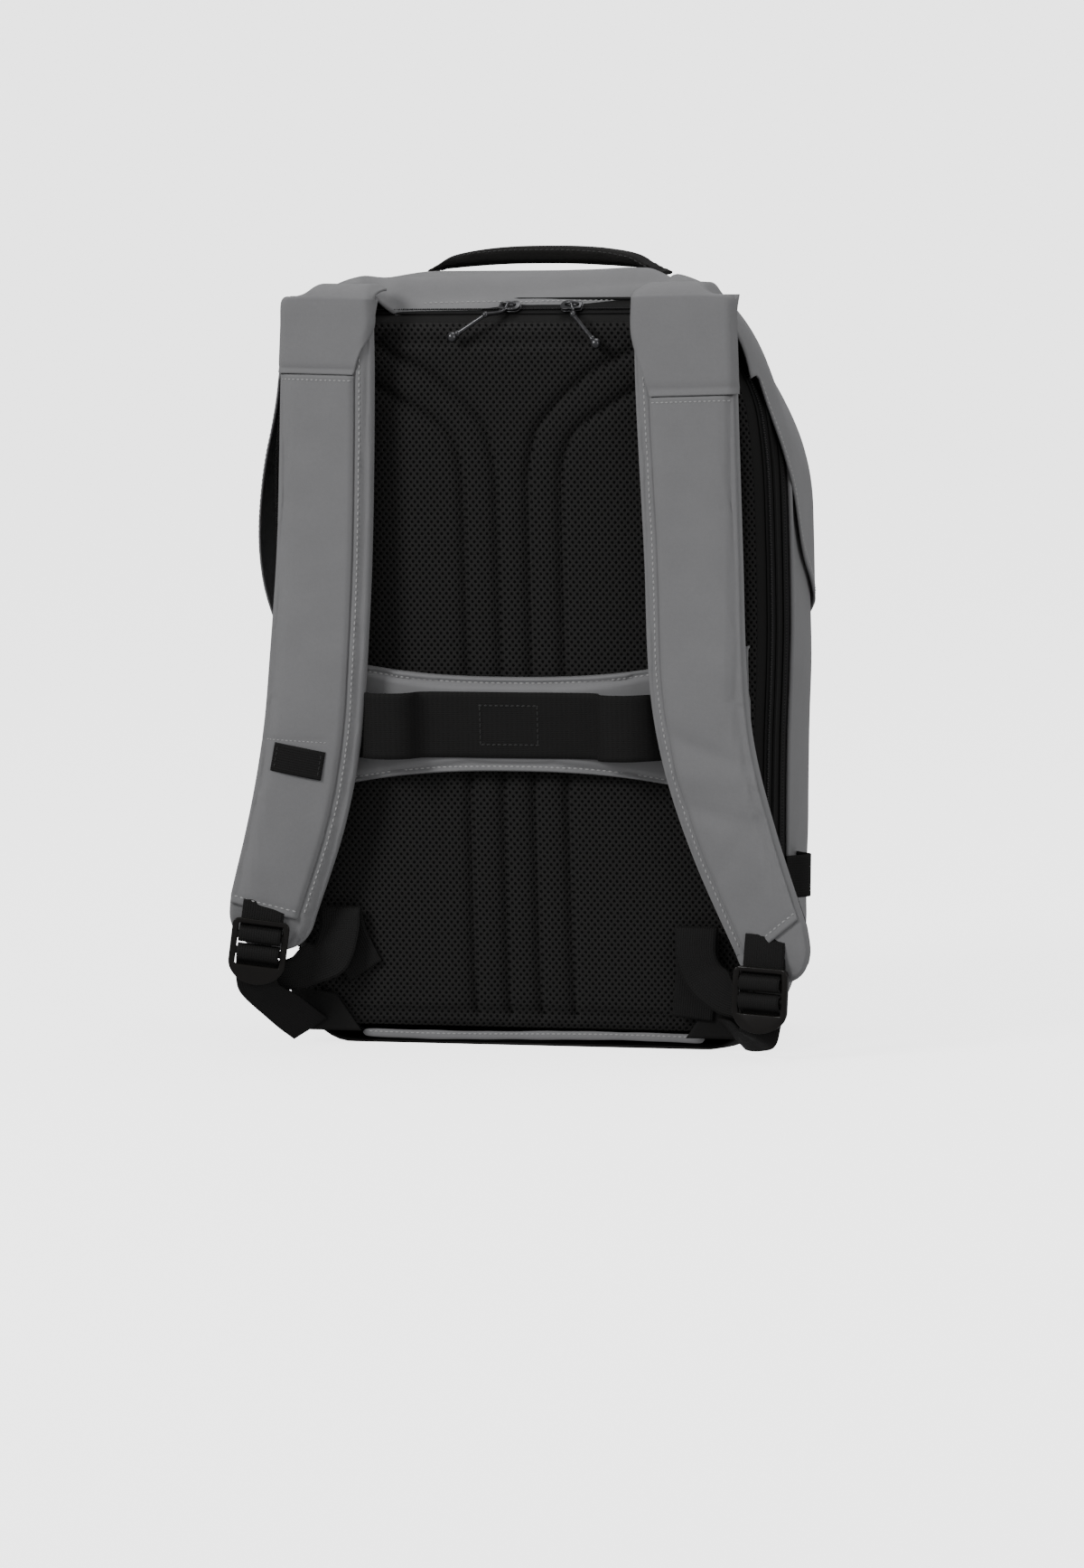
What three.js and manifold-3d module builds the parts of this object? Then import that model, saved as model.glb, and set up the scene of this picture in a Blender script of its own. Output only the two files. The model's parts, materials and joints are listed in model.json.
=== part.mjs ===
import * as THREE from "three";
import { mergeVertices } from "three/addons/utils/BufferGeometryUtils.js";
import Module from "manifold-3d";

const wasm = await Module();
wasm.setup();

// Laptop backpack in millimetres, +Z up. The harness side faces -Y.
// Lengths in the tables are shares of the named sizes that they follow.

// Driving sizes of the bag
const SHELL_HEIGHT = 453;
const SHELL_WIDTH = 313;
const SHELL_DEPTH = 125;
const SHELL_WALL = 2;
const FRONT_CROWN = 8;
const GUSSET_DEPTH = 38;
const GUSSET_WALL = 1.6;
const SEWN_GAP = 0.3;

// Zips and piping on the gusset
const ZIP_WIDTH = 6.4;
const ZIP_THICKNESS = 1;
const MAIN_ZIP_AT = 6.6;
const FRONT_ZIP_AT = 25.4;
const ZIP_END_HEIGHT = 52;
const PIPING_WIDTH = 3;
const PIPING_THICKNESS = 1.5;
const BAND_GAP = 0.5;

// Front cover with its side wings
const COVER_WALL = 1.8;
const COVER_LIFT = 2.4;
const COVER_REST = 1.8;
const HEM_HEIGHT = 235;
const WING_FLARE = 18;
const WING_FLARE_HEIGHT = 290;
const WING_FLARE_REACH = 120;

// Padded back panel
const PANEL_BOTTOM = 11;
const PANEL_RIM = 3.4;
const PANEL_CROWN = 4.2;
const CHANNEL_DEPTH = 3;
const CHANNEL_HALF = 5.5;
const INNER_CHANNEL = 10;
const OUTER_CHANNEL = 31;
const BINDING_HEIGHT = 6;
const BINDING_THICKNESS = 3;
const BINDING_LENGTH = 204;

// Lumbar band and elastic luggage strap
const BAND_CENTRE = 192.5;
const BAND_HEIGHT = 56;
const BAND_END_HEIGHT = 94;
const BAND_THICKNESS = 3;
const BAND_BOW = 3;
const ELASTIC_WIDTH = 39;
const ELASTIC_THICKNESS = 2;
const ELASTIC_SPAN = 224;
const LOOP_CENTRE = 72;
const LOOP_WIDTH = 23;
const LOOP_DEPTH = 16;

// Shoulder straps
const STRAP_TOP = 441;
const STRAP_HEM_LEFT = 85;
const STRAP_HEM_RIGHT = 70.5;
const STRAP_WIDTH = 61;
const STRAP_REACH = 149;
const STRAP_STAND_OFF = 21;
const STRAP_LINING = 2.6;
const STRAP_PAD = 8.6;
const STRAP_COVER = 1.6;
const STRAP_BORDER = 7.5;
const TONGUE_LENGTH = 26;
const PATCH_WIDTH = 17;
const PATCH_LENGTH = 31;
const PATCH_HEIGHT = 171;

// Yokes over the top corners
const YOKE_WALL = 2;
const YOKE_SEAM_LEFT = 399;
const YOKE_SEAM_RIGHT = 386;

// Webbing and ladder-lock buckles
const WEBBING_WIDTH = 25;
const WEBBING_THICKNESS = 1.3;
const BUCKLE_WIDTH = 34;
const BUCKLE_TOP = 18.5;
const BUCKLE_LIP = 20;
const BUCKLE_THICKNESS = 3;
const BUCKLE_DROP_LEFT = 26;
const BUCKLE_DROP_RIGHT = 34;
const BUCKLE_SHIFT_LEFT = 5;
const BUCKLE_SHIFT_RIGHT = 2.5;
const BUCKLE_STAND_OFF = 7;
const SLOT_WIDTH = 26.4;
const SIDE_LOOP_HEIGHT = 99;
const SIDE_LOOP_SPAN = 26;
const SIDE_LOOP_BULGE = 11;

// Carry handle
const HANDLE_SPAN = 148;
const HANDLE_WIDTH = 26;
const HANDLE_THICKNESS = 4.9;
const HANDLE_RISE = 6.3;
const HANDLE_DEPTH = 62;

// Zip sliders and pulls
const SLIDER_LENGTH = 12;
const SLIDER_WIDTH = 8;
const SLIDER_HEIGHT = 3.2;
const PULL_ROD_RADIUS = 1.4;
const PULL_BALL_RADIUS = 3.3;
const KNUCKLE_RADIUS = 1.7;
const SLIDER_NOSE = 0.82;
const SLIDER_LEFT_X = -3.5;
const SLIDER_RIGHT_X = 36;

// Steps that round stretches are drawn with
const SIDE_STEPS = 4;
const ARC_STEPS = 6;
const TOP_STEPS = 6;
const FOOT_STEPS = 3;
const STRAP_STEPS = 15;

// One row for each section across the bag, from the back seam to the front face.
// depth: share of the shell's depth. half, topArc, footArc, coverArc: shares of half the
// shell's width. top and coverTop: shares of the shell's height.
const SECTIONS = [
  { depth: 0, half: 0.95, top: 0.945, topArc: 0.35, footArc: 0.2, coverTop: 0.997, coverArc: 0.17 },
  { depth: 0.064, half: 0.975, top: 0.956, topArc: 0.4, footArc: 0.2, coverTop: 0.998, coverArc: 0.21 },
  { depth: 0.112, half: 0.984, top: 0.966, topArc: 0.43, footArc: 0.2, coverTop: 0.999, coverArc: 0.3 },
  { depth: 0.2, half: 0.996, top: 0.985, topArc: 0.49, footArc: 0.22, coverTop: 1.0, coverArc: 0.45 },
  { depth: 0.304, half: 1.0, top: 1.0, topArc: 0.6, footArc: 0.25, coverTop: 1.0, coverArc: 0.6 },
  { depth: 0.48, half: 0.986, top: 0.997, topArc: 0.7, footArc: 0.3, coverTop: 0.997, coverArc: 0.7 },
  { depth: 0.64, half: 0.966, top: 0.99, topArc: 0.75, footArc: 0.35, coverTop: 0.99, coverArc: 0.75 },
  { depth: 0.8, half: 0.942, top: 0.98, topArc: 0.8, footArc: 0.41, coverTop: 0.98, coverArc: 0.8 },
  { depth: 0.92, half: 0.914, top: 0.964, topArc: 0.82, footArc: 0.45, coverTop: 0.964, coverArc: 0.82 },
  { depth: 1, half: 0.86, top: 0.938, topArc: 0.78, footArc: 0.46, coverTop: 0.938, coverArc: 0.78 },
];

// The sides draw in a little towards the base and towards the crown: height as a share of the
// shell's height, width as a share of its own width there.
const WAIST = [
  { height: 0.0, width: 0.95 },
  { height: 0.1, width: 0.957 },
  { height: 0.27, width: 0.963 },
  { height: 0.4, width: 0.976 },
  { height: 0.48, width: 0.99 },
  { height: 0.56, width: 1.0 },
  { height: 0.72, width: 1.0 },
  { height: 0.78, width: 0.992 },
  { height: 0.88, width: 0.958 },
  { height: 0.98, width: 0.935 },
  { height: 1.02, width: 0.93 },
];

// The free edges of the wings: depth as a share of the shell's depth, heights as shares of its
// height. The left wing hangs lower.
const WING_EDGE = [
  { depth: 0.016, left: 0.955, right: 0.955 },
  { depth: 0.08, left: 0.861, right: 0.861 },
  { depth: 0.224, left: 0.7, right: 0.766 },
  { depth: 0.336, left: 0.58, right: 0.711 },
  { depth: 0.48, left: 0.49, right: 0.642 },
  { depth: 0.704, left: 0.46, right: 0.6 },
  { depth: 0.92, left: 0.45, right: 0.56 },
  { depth: 1, left: 0.45, right: 0.535 },
];

// Sewn channels of the back panel: height as a share of the shell's height, places as shares of
// half the shell's width beyond each channel's own place low on the panel.
const CHANNEL_FLARE = [
  { height: 0.0, inner: 0.0, outer: 0.0 },
  { height: 0.74, inner: 0.0, outer: 0.0 },
  { height: 0.785, inner: 0.02, outer: 0.025 },
  { height: 0.81, inner: 0.045, outer: 0.075 },
  { height: 0.835, inner: 0.105, outer: 0.18 },
  { height: 0.88, inner: 0.255, outer: 0.41 },
  { height: 0.925, inner: 0.48, outer: 0.6 },
  { height: 1.0, inner: 0.5, outer: 0.62 },
];
const PANEL_ROWS = [
  0, 0.012, 0.04, 0.085, 0.2, 0.34, 0.48, 0.62, 0.76, 0.815, 0.845, 0.885, 0.93, 0.965, 0.988, 1,
];

// The shoulder straps from their top to their hem: drop is the share of that way down. left and
// right are shares of the reach, leftWidth and rightWidth of the strap's width, standOff of the
// stand-off at the hem. roll is in degrees.
const STRAP_PATH = [
  { drop: 0.0, left: 0.715, right: 0.772, leftWidth: 0.9, rightWidth: 1.0, standOff: 0.3, roll: 0 },
  { drop: 0.12, left: 0.722, right: 0.775, leftWidth: 0.945, rightWidth: 1.02, standOff: 0.38, roll: 0 },
  { drop: 0.4, left: 0.744, right: 0.797, leftWidth: 0.965, rightWidth: 0.985, standOff: 0.55, roll: 0 },
  { drop: 0.6, left: 0.775, right: 0.819, leftWidth: 0.98, rightWidth: 0.99, standOff: 0.8, roll: 3 },
  { drop: 0.72, left: 0.809, right: 0.866, leftWidth: 0.97, rightWidth: 0.97, standOff: 0.88, roll: 7 },
  { drop: 0.85, left: 0.879, right: 0.966, leftWidth: 0.94, rightWidth: 0.94, standOff: 0.94, roll: 12 },
  { drop: 1.0, left: 0.995, right: 1.114, leftWidth: 0.86, rightWidth: 0.86, standOff: 1.0, roll: 17 },
];
// How far the tongues and the buckles lean outwards for each millimetre that they hang down
const TONGUE_LEAN = { left: 0.15, right: 0.14 };
const BUCKLE_LEAN = { left: 0.15, right: -0.06 };

// The tongue below the hem: along and width as shares of its length and of the width at the hem.
const TONGUE = [
  { along: 0.12, width: 0.99, thick: 0.95 },
  { along: 0.45, width: 0.93, thick: 0.85 },
  { along: 0.75, width: 0.76, thick: 0.72 },
  { along: 0.93, width: 0.52, thick: 0.55 },
  { along: 1.0, width: 0.3, thick: 0.4 },
];

// A round-edged pad's section: across as a share of half its width, rise of its thickness.
const PAD_SECTION = [
  { across: -1, rise: 0.42 },
  { across: -0.93, rise: 0.84 },
  { across: -0.7, rise: 1 },
  { across: 0, rise: 1.04 },
  { across: 0.7, rise: 1 },
  { across: 0.93, rise: 0.84 },
  { across: 1, rise: 0.42 },
  { across: 0.92, rise: 0 },
  { across: -0.92, rise: 0 },
];

// The handle from its left foot to its middle: shares of half its span, of its rise, of its
// thickness and of its width.
const HANDLE_PATH = [
  { along: -1, rise: -0.58, thickness: 0.3, width: 0.86 },
  { along: -0.86, rise: -0.24, thickness: 0.36, width: 0.92 },
  { along: -0.74, rise: 0.25, thickness: 0.72, width: 0.97 },
  { along: -0.5, rise: 0.68, thickness: 0.94, width: 1 },
  { along: -0.24, rise: 0.94, thickness: 1, width: 1 },
  { along: 0, rise: 1, thickness: 1, width: 1 },
];

const { lerp, clamp, degToRad } = THREE.MathUtils;
const HALF_WIDTH = SHELL_WIDTH / 2;

// Reads a table between its rows, by the column named key
function readTable(table, key, value) {
  const found = table.findIndex((row) => row[key] >= value);
  const above = found < 0 ? table.length - 1 : found;
  const below = Math.max(above - 1, 0);
  const span = table[above][key] - table[below][key];
  const share = span > 0 ? clamp((value - table[below][key]) / span, 0, 1) : 0;
  const columns = Object.keys(table[0]);
  const between = (name) => lerp(table[below][name], table[above][name], share);
  return Object.fromEntries(columns.map((name) => [name, between(name)]));
}

// Draws a place across the bag in to its waist at a height
function drawnIn(x, z) {
  return x * readTable(WAIST, "height", z / SHELL_HEIGHT).width;
}

// A smooth hump that is 1 at 0 and fades out at -1 and 1
function hump(value) {
  const inside = Math.max(1 - value * value, 0);
  return inside * inside;
}

// A closed surface from points and triangles, turned so that its faces point out
function closedGeometry(points, triangles) {
  const volume = triangles.reduce((sum, [a, b, c]) => {
    return sum + points[a].dot(new THREE.Vector3().crossVectors(points[b], points[c]));
  }, 0);
  const outward = volume > 0 ? triangles : triangles.map(([a, b, c]) => [a, c, b]);
  const geometry = new THREE.BufferGeometry().setFromPoints(points);
  geometry.setIndex(outward.flat());
  geometry.computeVertexNormals();
  return geometry;
}

// Joins two rows of point numbers with triangles
function joinRows(triangles, rowA, rowB, closed) {
  const count = closed ? rowA.length : rowA.length - 1;
  for (let i = 0; i < count; i += 1) {
    const next = (i + 1) % rowA.length;
    triangles.push([rowA[i], rowB[i], rowB[next]]);
    triangles.push([rowA[i], rowB[next], rowA[next]]);
  }
}

// A slab between two grids of points of one size, closed round its four sides
function slab(inner, outer) {
  const rows = inner.length;
  const columns = inner[0].length;
  const points = [...inner.flat(), ...outer.flat()];
  const at = (face, v, u) => (face * rows + v) * columns + u;
  const triangles = [];
  for (let v = 0; v < rows - 1; v += 1) {
    const upper = Array.from({ length: columns }, (unused, u) => u);
    joinRows(triangles, upper.map((u) => at(0, v, u)), upper.map((u) => at(0, v + 1, u)), false);
    joinRows(triangles, upper.map((u) => at(1, v + 1, u)), upper.map((u) => at(1, v, u)), false);
  }
  const rim = [];
  for (let u = 0; u < columns; u += 1) rim.push([0, u]);
  for (let v = 1; v < rows; v += 1) rim.push([v, columns - 1]);
  for (let u = columns - 2; u >= 0; u -= 1) rim.push([rows - 1, u]);
  for (let v = rows - 2; v > 0; v -= 1) rim.push([v, 0]);
  joinRows(triangles, rim.map(([v, u]) => at(1, v, u)), rim.map(([v, u]) => at(0, v, u)), true);
  return closedGeometry(points, triangles);
}

// A sheet of even thickness on a grid of points, thickened towards side times its normal
function sheet(grid, thickness, side) {
  const rows = grid.length;
  const columns = grid[0].length;
  const outer = grid.map((row, v) =>
    row.map((point, u) => {
      const across = row[Math.min(u + 1, columns - 1)].clone().sub(row[Math.max(u - 1, 0)]);
      const along = grid[Math.min(v + 1, rows - 1)][u].clone().sub(grid[Math.max(v - 1, 0)][u]);
      return point.clone().addScaledVector(across.cross(along).normalize(), side * thickness);
    }),
  );
  return slab(grid, outer);
}

// A body swept through closed rings of points, with flat ends
function sweep(rings) {
  const size = rings[0].length;
  const points = rings.flat();
  const row = (v) => Array.from({ length: size }, (unused, i) => v * size + i);
  const triangles = [];
  for (let v = 0; v < rings.length - 1; v += 1) joinRows(triangles, row(v), row(v + 1), true);
  const first = row(0);
  const last = row(rings.length - 1);
  for (let i = 1; i < size - 1; i += 1) {
    triangles.push([first[0], first[i], first[i + 1]]);
    triangles.push([last[0], last[i + 1], last[i]]);
  }
  return closedGeometry(points, triangles);
}

// A flat band along a path, with its width towards each point's across
function ribbon(path, width, thickness) {
  const rings = path.map(({ at, across }, i) => {
    const before = path[Math.max(i - 1, 0)].at;
    const after = path[Math.min(i + 1, path.length - 1)].at;
    const level = across.clone().normalize();
    const out = after.clone().sub(before).cross(level).normalize();
    const corner = (a, b) => {
      return at.clone().addScaledVector(level, (a * width) / 2).addScaledVector(out, (b * thickness) / 2);
    };
    return [corner(-1, -1), corner(1, -1), corner(1, 1), corner(-1, 1)];
  });
  return sweep(rings);
}

// The manifold solid of a geometry, for a join
function manifoldOf(geometry) {
  const bare = geometry.clone();
  bare.deleteAttribute("normal");
  bare.deleteAttribute("uv");
  const merged = mergeVertices(bare);
  const vertProperties = merged.attributes.position.array;
  const triVerts = new Uint32Array(merged.index.array);
  return new wasm.Manifold(new wasm.Mesh({ numProp: 3, vertProperties, triVerts }));
}

// A geometry from a manifold solid
function geometryOf(manifold) {
  const mesh = manifold.getMesh();
  const geometry = new THREE.BufferGeometry();
  geometry.setAttribute("position", new THREE.BufferAttribute(mesh.vertProperties, 3));
  geometry.setIndex(new THREE.BufferAttribute(mesh.triVerts, 1));
  geometry.computeVertexNormals();
  return geometry;
}

// The bag's section at a depth, in millimetres
function sectionAt(depth) {
  const row = readTable(SECTIONS, "depth", depth / SHELL_DEPTH);
  return {
    half: row.half * HALF_WIDTH,
    top: row.top * SHELL_HEIGHT,
    topArc: row.topArc * HALF_WIDTH,
    footArc: row.footArc * HALF_WIDTH,
    coverTop: row.coverTop * SHELL_HEIGHT,
    coverArc: row.coverArc * HALF_WIDTH,
  };
}

// The front face bulges softly in the middle
function frontDepth(x, z) {
  const across = clamp(1 - (x / HALF_WIDTH) ** 4, 0, 1);
  const up = clamp(1 - ((2 * z) / SHELL_HEIGHT - 1) ** 4, 0, 1);
  return SHELL_DEPTH + FRONT_CROWN * across * up;
}

// Points of an arch, [x, z], from its left foot up one side, over the top and down to the right foot
function arch(half, top, radius, leftFoot, rightFoot) {
  const points = [];
  const shoulder = top - radius;
  for (let i = 0; i < SIDE_STEPS; i += 1) points.push([-half, lerp(leftFoot, shoulder, i / SIDE_STEPS)]);
  for (let i = 0; i < ARC_STEPS; i += 1) {
    const angle = (Math.PI / 2) * (i / ARC_STEPS);
    points.push([-half + radius * (1 - Math.cos(angle)), shoulder + radius * Math.sin(angle)]);
  }
  const straight = half - radius;
  for (let i = 0; i < TOP_STEPS; i += 1) points.push([lerp(-straight, straight, i / TOP_STEPS), top]);
  for (let i = 0; i < ARC_STEPS; i += 1) {
    const angle = (Math.PI / 2) * (i / ARC_STEPS);
    points.push([half - radius * (1 - Math.sin(angle)), shoulder + radius * Math.cos(angle)]);
  }
  for (let i = 0; i <= SIDE_STEPS; i += 1) points.push([half, lerp(shoulder, rightFoot, i / SIDE_STEPS)]);
  return points.map(([x, z]) => [drawnIn(x, z), z]);
}

// A whole section, [x, z], grown outwards from the bag's own section at that depth
function wholeSection(depth, grow) {
  const { half, top, topArc, footArc } = sectionAt(depth);
  const radius = footArc + grow;
  const points = arch(half + grow, top + grow, topArc + grow, footArc, footArc);
  const addFoot = (x, z) => points.push([drawnIn(x, z), z]);
  for (let i = 1; i <= FOOT_STEPS; i += 1) {
    const angle = (Math.PI / 2) * (i / FOOT_STEPS);
    addFoot(half + grow - radius * (1 - Math.cos(angle)), footArc - radius * Math.sin(angle));
  }
  for (let i = 0; i < FOOT_STEPS; i += 1) {
    const angle = (Math.PI / 2) * (i / FOOT_STEPS);
    addFoot(-half - grow + radius * (1 - Math.sin(angle)), footArc - radius * Math.cos(angle));
  }
  return points;
}

function ringAt(depth, grow) {
  return wholeSection(depth, grow).map(([x, z]) => new THREE.Vector3(x, depth, z));
}

// The gusset, an open ring of fabric
function gussetGeometry() {
  const stops = SECTIONS.map((row) => row.depth * SHELL_DEPTH).filter((depth) => depth < GUSSET_DEPTH - 1);
  const depths = [...stops, GUSSET_DEPTH - SEWN_GAP / 2];
  const outer = depths.map((depth) => ringAt(depth, 0));
  const inner = depths.map((depth) => ringAt(depth, -GUSSET_WALL));
  const loops = [...outer, ...inner.reverse()];
  const size = outer[0].length;
  const triangles = [];
  const row = (v) => Array.from({ length: size }, (unused, i) => (v % loops.length) * size + i);
  for (let v = 0; v < loops.length; v += 1) joinRows(triangles, row(v), row(v + 1), true);
  return closedGeometry(loops.flat(), triangles);
}

// A ring drawn in towards the middle of the front face
function faceRing(share, inset) {
  const middle = SHELL_HEIGHT / 2;
  return wholeSection(SHELL_DEPTH, -inset).map(([x, z]) => {
    const faceX = x * share;
    const faceZ = middle + (z - middle) * share;
    return new THREE.Vector3(faceX, frontDepth(faceX, faceZ) - inset, faceZ);
  });
}

// The front shell, a tray that is open towards the gusset
function shellGeometry() {
  const start = GUSSET_DEPTH + SEWN_GAP / 2;
  const stops = SECTIONS.map((row) => row.depth * SHELL_DEPTH).filter((depth) => depth > start + 1);
  const depths = [start, ...stops.slice(0, -1)];
  const faceShares = [1, 0.9, 0.6];
  const skin = (inset) => [
    ...depths.map((depth) => ringAt(depth, -inset)),
    ...faceShares.map((share) => faceRing(share, inset)),
  ];
  const outer = skin(0);
  const inner = skin(SHELL_WALL);
  const size = outer[0].length;
  const points = [...outer.flat(), ...inner.flat()];
  const row = (v) => Array.from({ length: size }, (unused, i) => v * size + i);
  const triangles = [];
  const rows = outer.length;
  for (let v = 0; v < rows - 1; v += 1) {
    joinRows(triangles, row(v), row(v + 1), true);
    joinRows(triangles, row(rows + v + 1), row(rows + v), true);
  }
  joinRows(triangles, row(rows), row(0), true);
  const middle = new THREE.Vector3(0, frontDepth(0, SHELL_HEIGHT / 2), SHELL_HEIGHT / 2);
  const poles = [points.push(middle) - 1];
  poles.push(points.push(middle.clone().setY(middle.y - SHELL_WALL)) - 1);
  const outerEdge = row(rows - 1);
  const innerEdge = row(2 * rows - 1);
  for (let i = 0; i < size; i += 1) {
    const next = (i + 1) % size;
    triangles.push([outerEdge[i], poles[0], outerEdge[next]]);
    triangles.push([innerEdge[i], innerEdge[next], poles[1]]);
  }
  return closedGeometry(points, triangles);
}

// A band that runs up one side of the gusset, over the top and down the other side
function gussetBand(start, width, thickness) {
  const grid = [start, start + width / 2, start + width].map((depth) => {
    const { half, top, topArc } = sectionAt(depth);
    const grown = [half, top, topArc].map((size) => size + BAND_GAP);
    const points = arch(...grown, ZIP_END_HEIGHT, ZIP_END_HEIGHT);
    return points.map(([x, z]) => new THREE.Vector3(x, depth, z));
  });
  return sheet(grid, thickness, 1);
}

// How far the cover lies off the bag at a depth
function coverGap(depth) {
  const lifted = 1 - clamp((depth - GUSSET_DEPTH - PIPING_WIDTH) / GUSSET_DEPTH, 0, 1);
  return lerp(COVER_REST, COVER_LIFT, lifted);
}

// The depth of a cover row: in the middle of the back edge it starts further in, lower on the left
function coverDepth(depth, x) {
  const middle = 1 - THREE.MathUtils.smoothstep(Math.abs(x), 0.46 * HALF_WIDTH, 0.58 * HALF_WIDTH);
  const edge = lerp(0.05, 0.23, clamp(x / HALF_WIDTH + 0.5, 0, 1)) * SHELL_DEPTH;
  const pushed = lerp(edge, GUSSET_DEPTH, clamp(depth / GUSSET_DEPTH, 0, 1));
  return depth < GUSSET_DEPTH ? lerp(depth, pushed, middle) : depth;
}

// The left wing stands off the side of the bag round its free edge
function flared(point) {
  const side = clamp(-point.x / HALF_WIDTH, 0, 1) ** 6;
  const rise = hump((point.z - WING_FLARE_HEIGHT) / WING_FLARE_REACH);
  const run = hump((point.y - 0.42 * SHELL_DEPTH) / (0.56 * SHELL_DEPTH));
  return point.setX(point.x - WING_FLARE * side * rise * run);
}

// The cover's rows over the gusset and shell, then down the front face to the hem
function coverGeometry() {
  const edgeRow = (depth) => {
    const wing = readTable(WING_EDGE, "depth", depth / SHELL_DEPTH);
    const gap = coverGap(depth);
    const { half, coverTop, coverArc } = sectionAt(depth);
    const leftFoot = wing.left * SHELL_HEIGHT;
    const rightFoot = wing.right * SHELL_HEIGHT;
    const across = arch(half + gap, coverTop + gap, coverArc + gap, leftFoot, rightFoot);
    return across.map(([x, z]) => {
      const own = coverDepth(depth, x);
      const level = sectionAt(own).top + coverGap(own) - (coverTop + gap);
      const middle = own > depth ? (own - depth) / Math.max(coverDepth(depth, 0) - depth, 1) : 0;
      return flared(new THREE.Vector3(x, own, z + level * clamp(middle, 0, 1)));
    });
  };
  const stops = SECTIONS.map((row) => row.depth * SHELL_DEPTH);
  const rows = [SEWN_GAP + YOKE_WALL, ...stops.slice(1, -1)].map(edgeRow);
  const lastRow = edgeRow(SHELL_DEPTH);
  const hemHalf = 0.9 * sectionAt(SHELL_DEPTH).half;
  const columns = lastRow.length;
  for (const share of [0, 0.06, 0.2, 0.4, 0.6, 0.8, 1]) {
    rows.push(
      lastRow.map((point, i) => {
        const x = lerp(point.x, lerp(-hemHalf, hemHalf, i / (columns - 1)), share);
        const z = lerp(point.z, HEM_HEIGHT, share);
        return new THREE.Vector3(x, frontDepth(x, z) + COVER_REST, z);
      }),
    );
  }
  return sheet(rows, COVER_WALL, 1);
}

// Half the back panel's width at a height, with its round corners
function panelHalf(z) {
  const { half, top, topArc, footArc } = sectionAt(0);
  const over = clamp(z - (top - topArc), 0, topArc);
  const under = clamp(PANEL_BOTTOM + footArc - z, 0, footArc);
  const cut = (radius, rise) => radius - Math.sqrt(Math.max(radius * radius - rise * rise, 0));
  return drawnIn(half - cut(topArc, over) - cut(footArc, under), z);
}

// The back panel's front surface, between its rim and its crown
function panelFront(x, z) {
  const { top } = sectionAt(0);
  const across = 1 - clamp(Math.abs(x) / panelHalf(z), 0, 1) ** 6;
  const up = 1 - clamp(Math.abs((2 * (z - PANEL_BOTTOM)) / (top - PANEL_BOTTOM) - 1), 0, 1) ** 10;
  return -SEWN_GAP - PANEL_RIM - PANEL_CROWN * across * up;
}

// The back panel with its four sewn channels
function panelGeometry() {
  const { top } = sectionAt(0);
  const front = [];
  const back = [];
  for (const share of PANEL_ROWS) {
    const z = lerp(PANEL_BOTTOM, top, share);
    const flare = readTable(CHANNEL_FLARE, "height", z / SHELL_HEIGHT);
    const half = panelHalf(z);
    const outer = Math.min(OUTER_CHANNEL + flare.outer * HALF_WIDTH, half - 4 * CHANNEL_HALF);
    const inner = Math.min(INNER_CHANNEL + flare.inner * HALF_WIDTH, outer - 3 * CHANNEL_HALF);
    const right = [
      { x: 0, deep: 0 },
      { x: inner - CHANNEL_HALF, deep: 0 },
      { x: inner, deep: 1 },
      { x: inner + CHANNEL_HALF, deep: 0 },
      { x: outer - CHANNEL_HALF, deep: 0 },
      { x: outer, deep: 1 },
      { x: outer + CHANNEL_HALF, deep: 0 },
      { x: (outer + CHANNEL_HALF + half) / 2, deep: 0 },
      { x: half - CHANNEL_HALF, deep: 0 },
      { x: half, deep: 0 },
    ];
    const left = right.slice(1).reverse().map(({ x, deep }) => ({ x: -x, deep }));
    const columns = [...left, ...right];
    const pressed = ({ x, deep }) => new THREE.Vector3(x, panelFront(x, z) + deep * CHANNEL_DEPTH, z);
    front.push(columns.map(pressed));
    back.push(columns.map(({ x }) => new THREE.Vector3(x, -SEWN_GAP, z)));
  }
  return slab(back, front);
}

// A folded grey edge below the back panel
function bindingGeometry() {
  const top = PANEL_BOTTOM - SEWN_GAP;
  const section = [
    [-BINDING_THICKNESS, 0.25],
    [-BINDING_THICKNESS, 0.75],
    [-0.7 * BINDING_THICKNESS, 1],
    [-SEWN_GAP, 1],
    [-SEWN_GAP, 0],
    [-0.7 * BINDING_THICKNESS, 0],
  ];
  const rings = [-0.5, -0.25, 0, 0.25, 0.5].map((share) =>
    section.map(([y, rise]) => {
      return new THREE.Vector3(share * BINDING_LENGTH, y, top - BINDING_HEIGHT * (1 - rise));
    }),
  );
  return sweep(rings);
}

// The lumbar band's back surface lies on the panel at its ends and bows forward between them
function bandBack(x) {
  const bow = 1 - (x / HALF_WIDTH) ** 2;
  return panelFront(x, BAND_CENTRE) - SEWN_GAP - 0.2 * BAND_BOW - BAND_BOW * bow;
}

function bandFront(x) {
  return bandBack(x) - BAND_THICKNESS - BAND_BOW * (1 - (x / HALF_WIDTH) ** 2);
}

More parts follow.
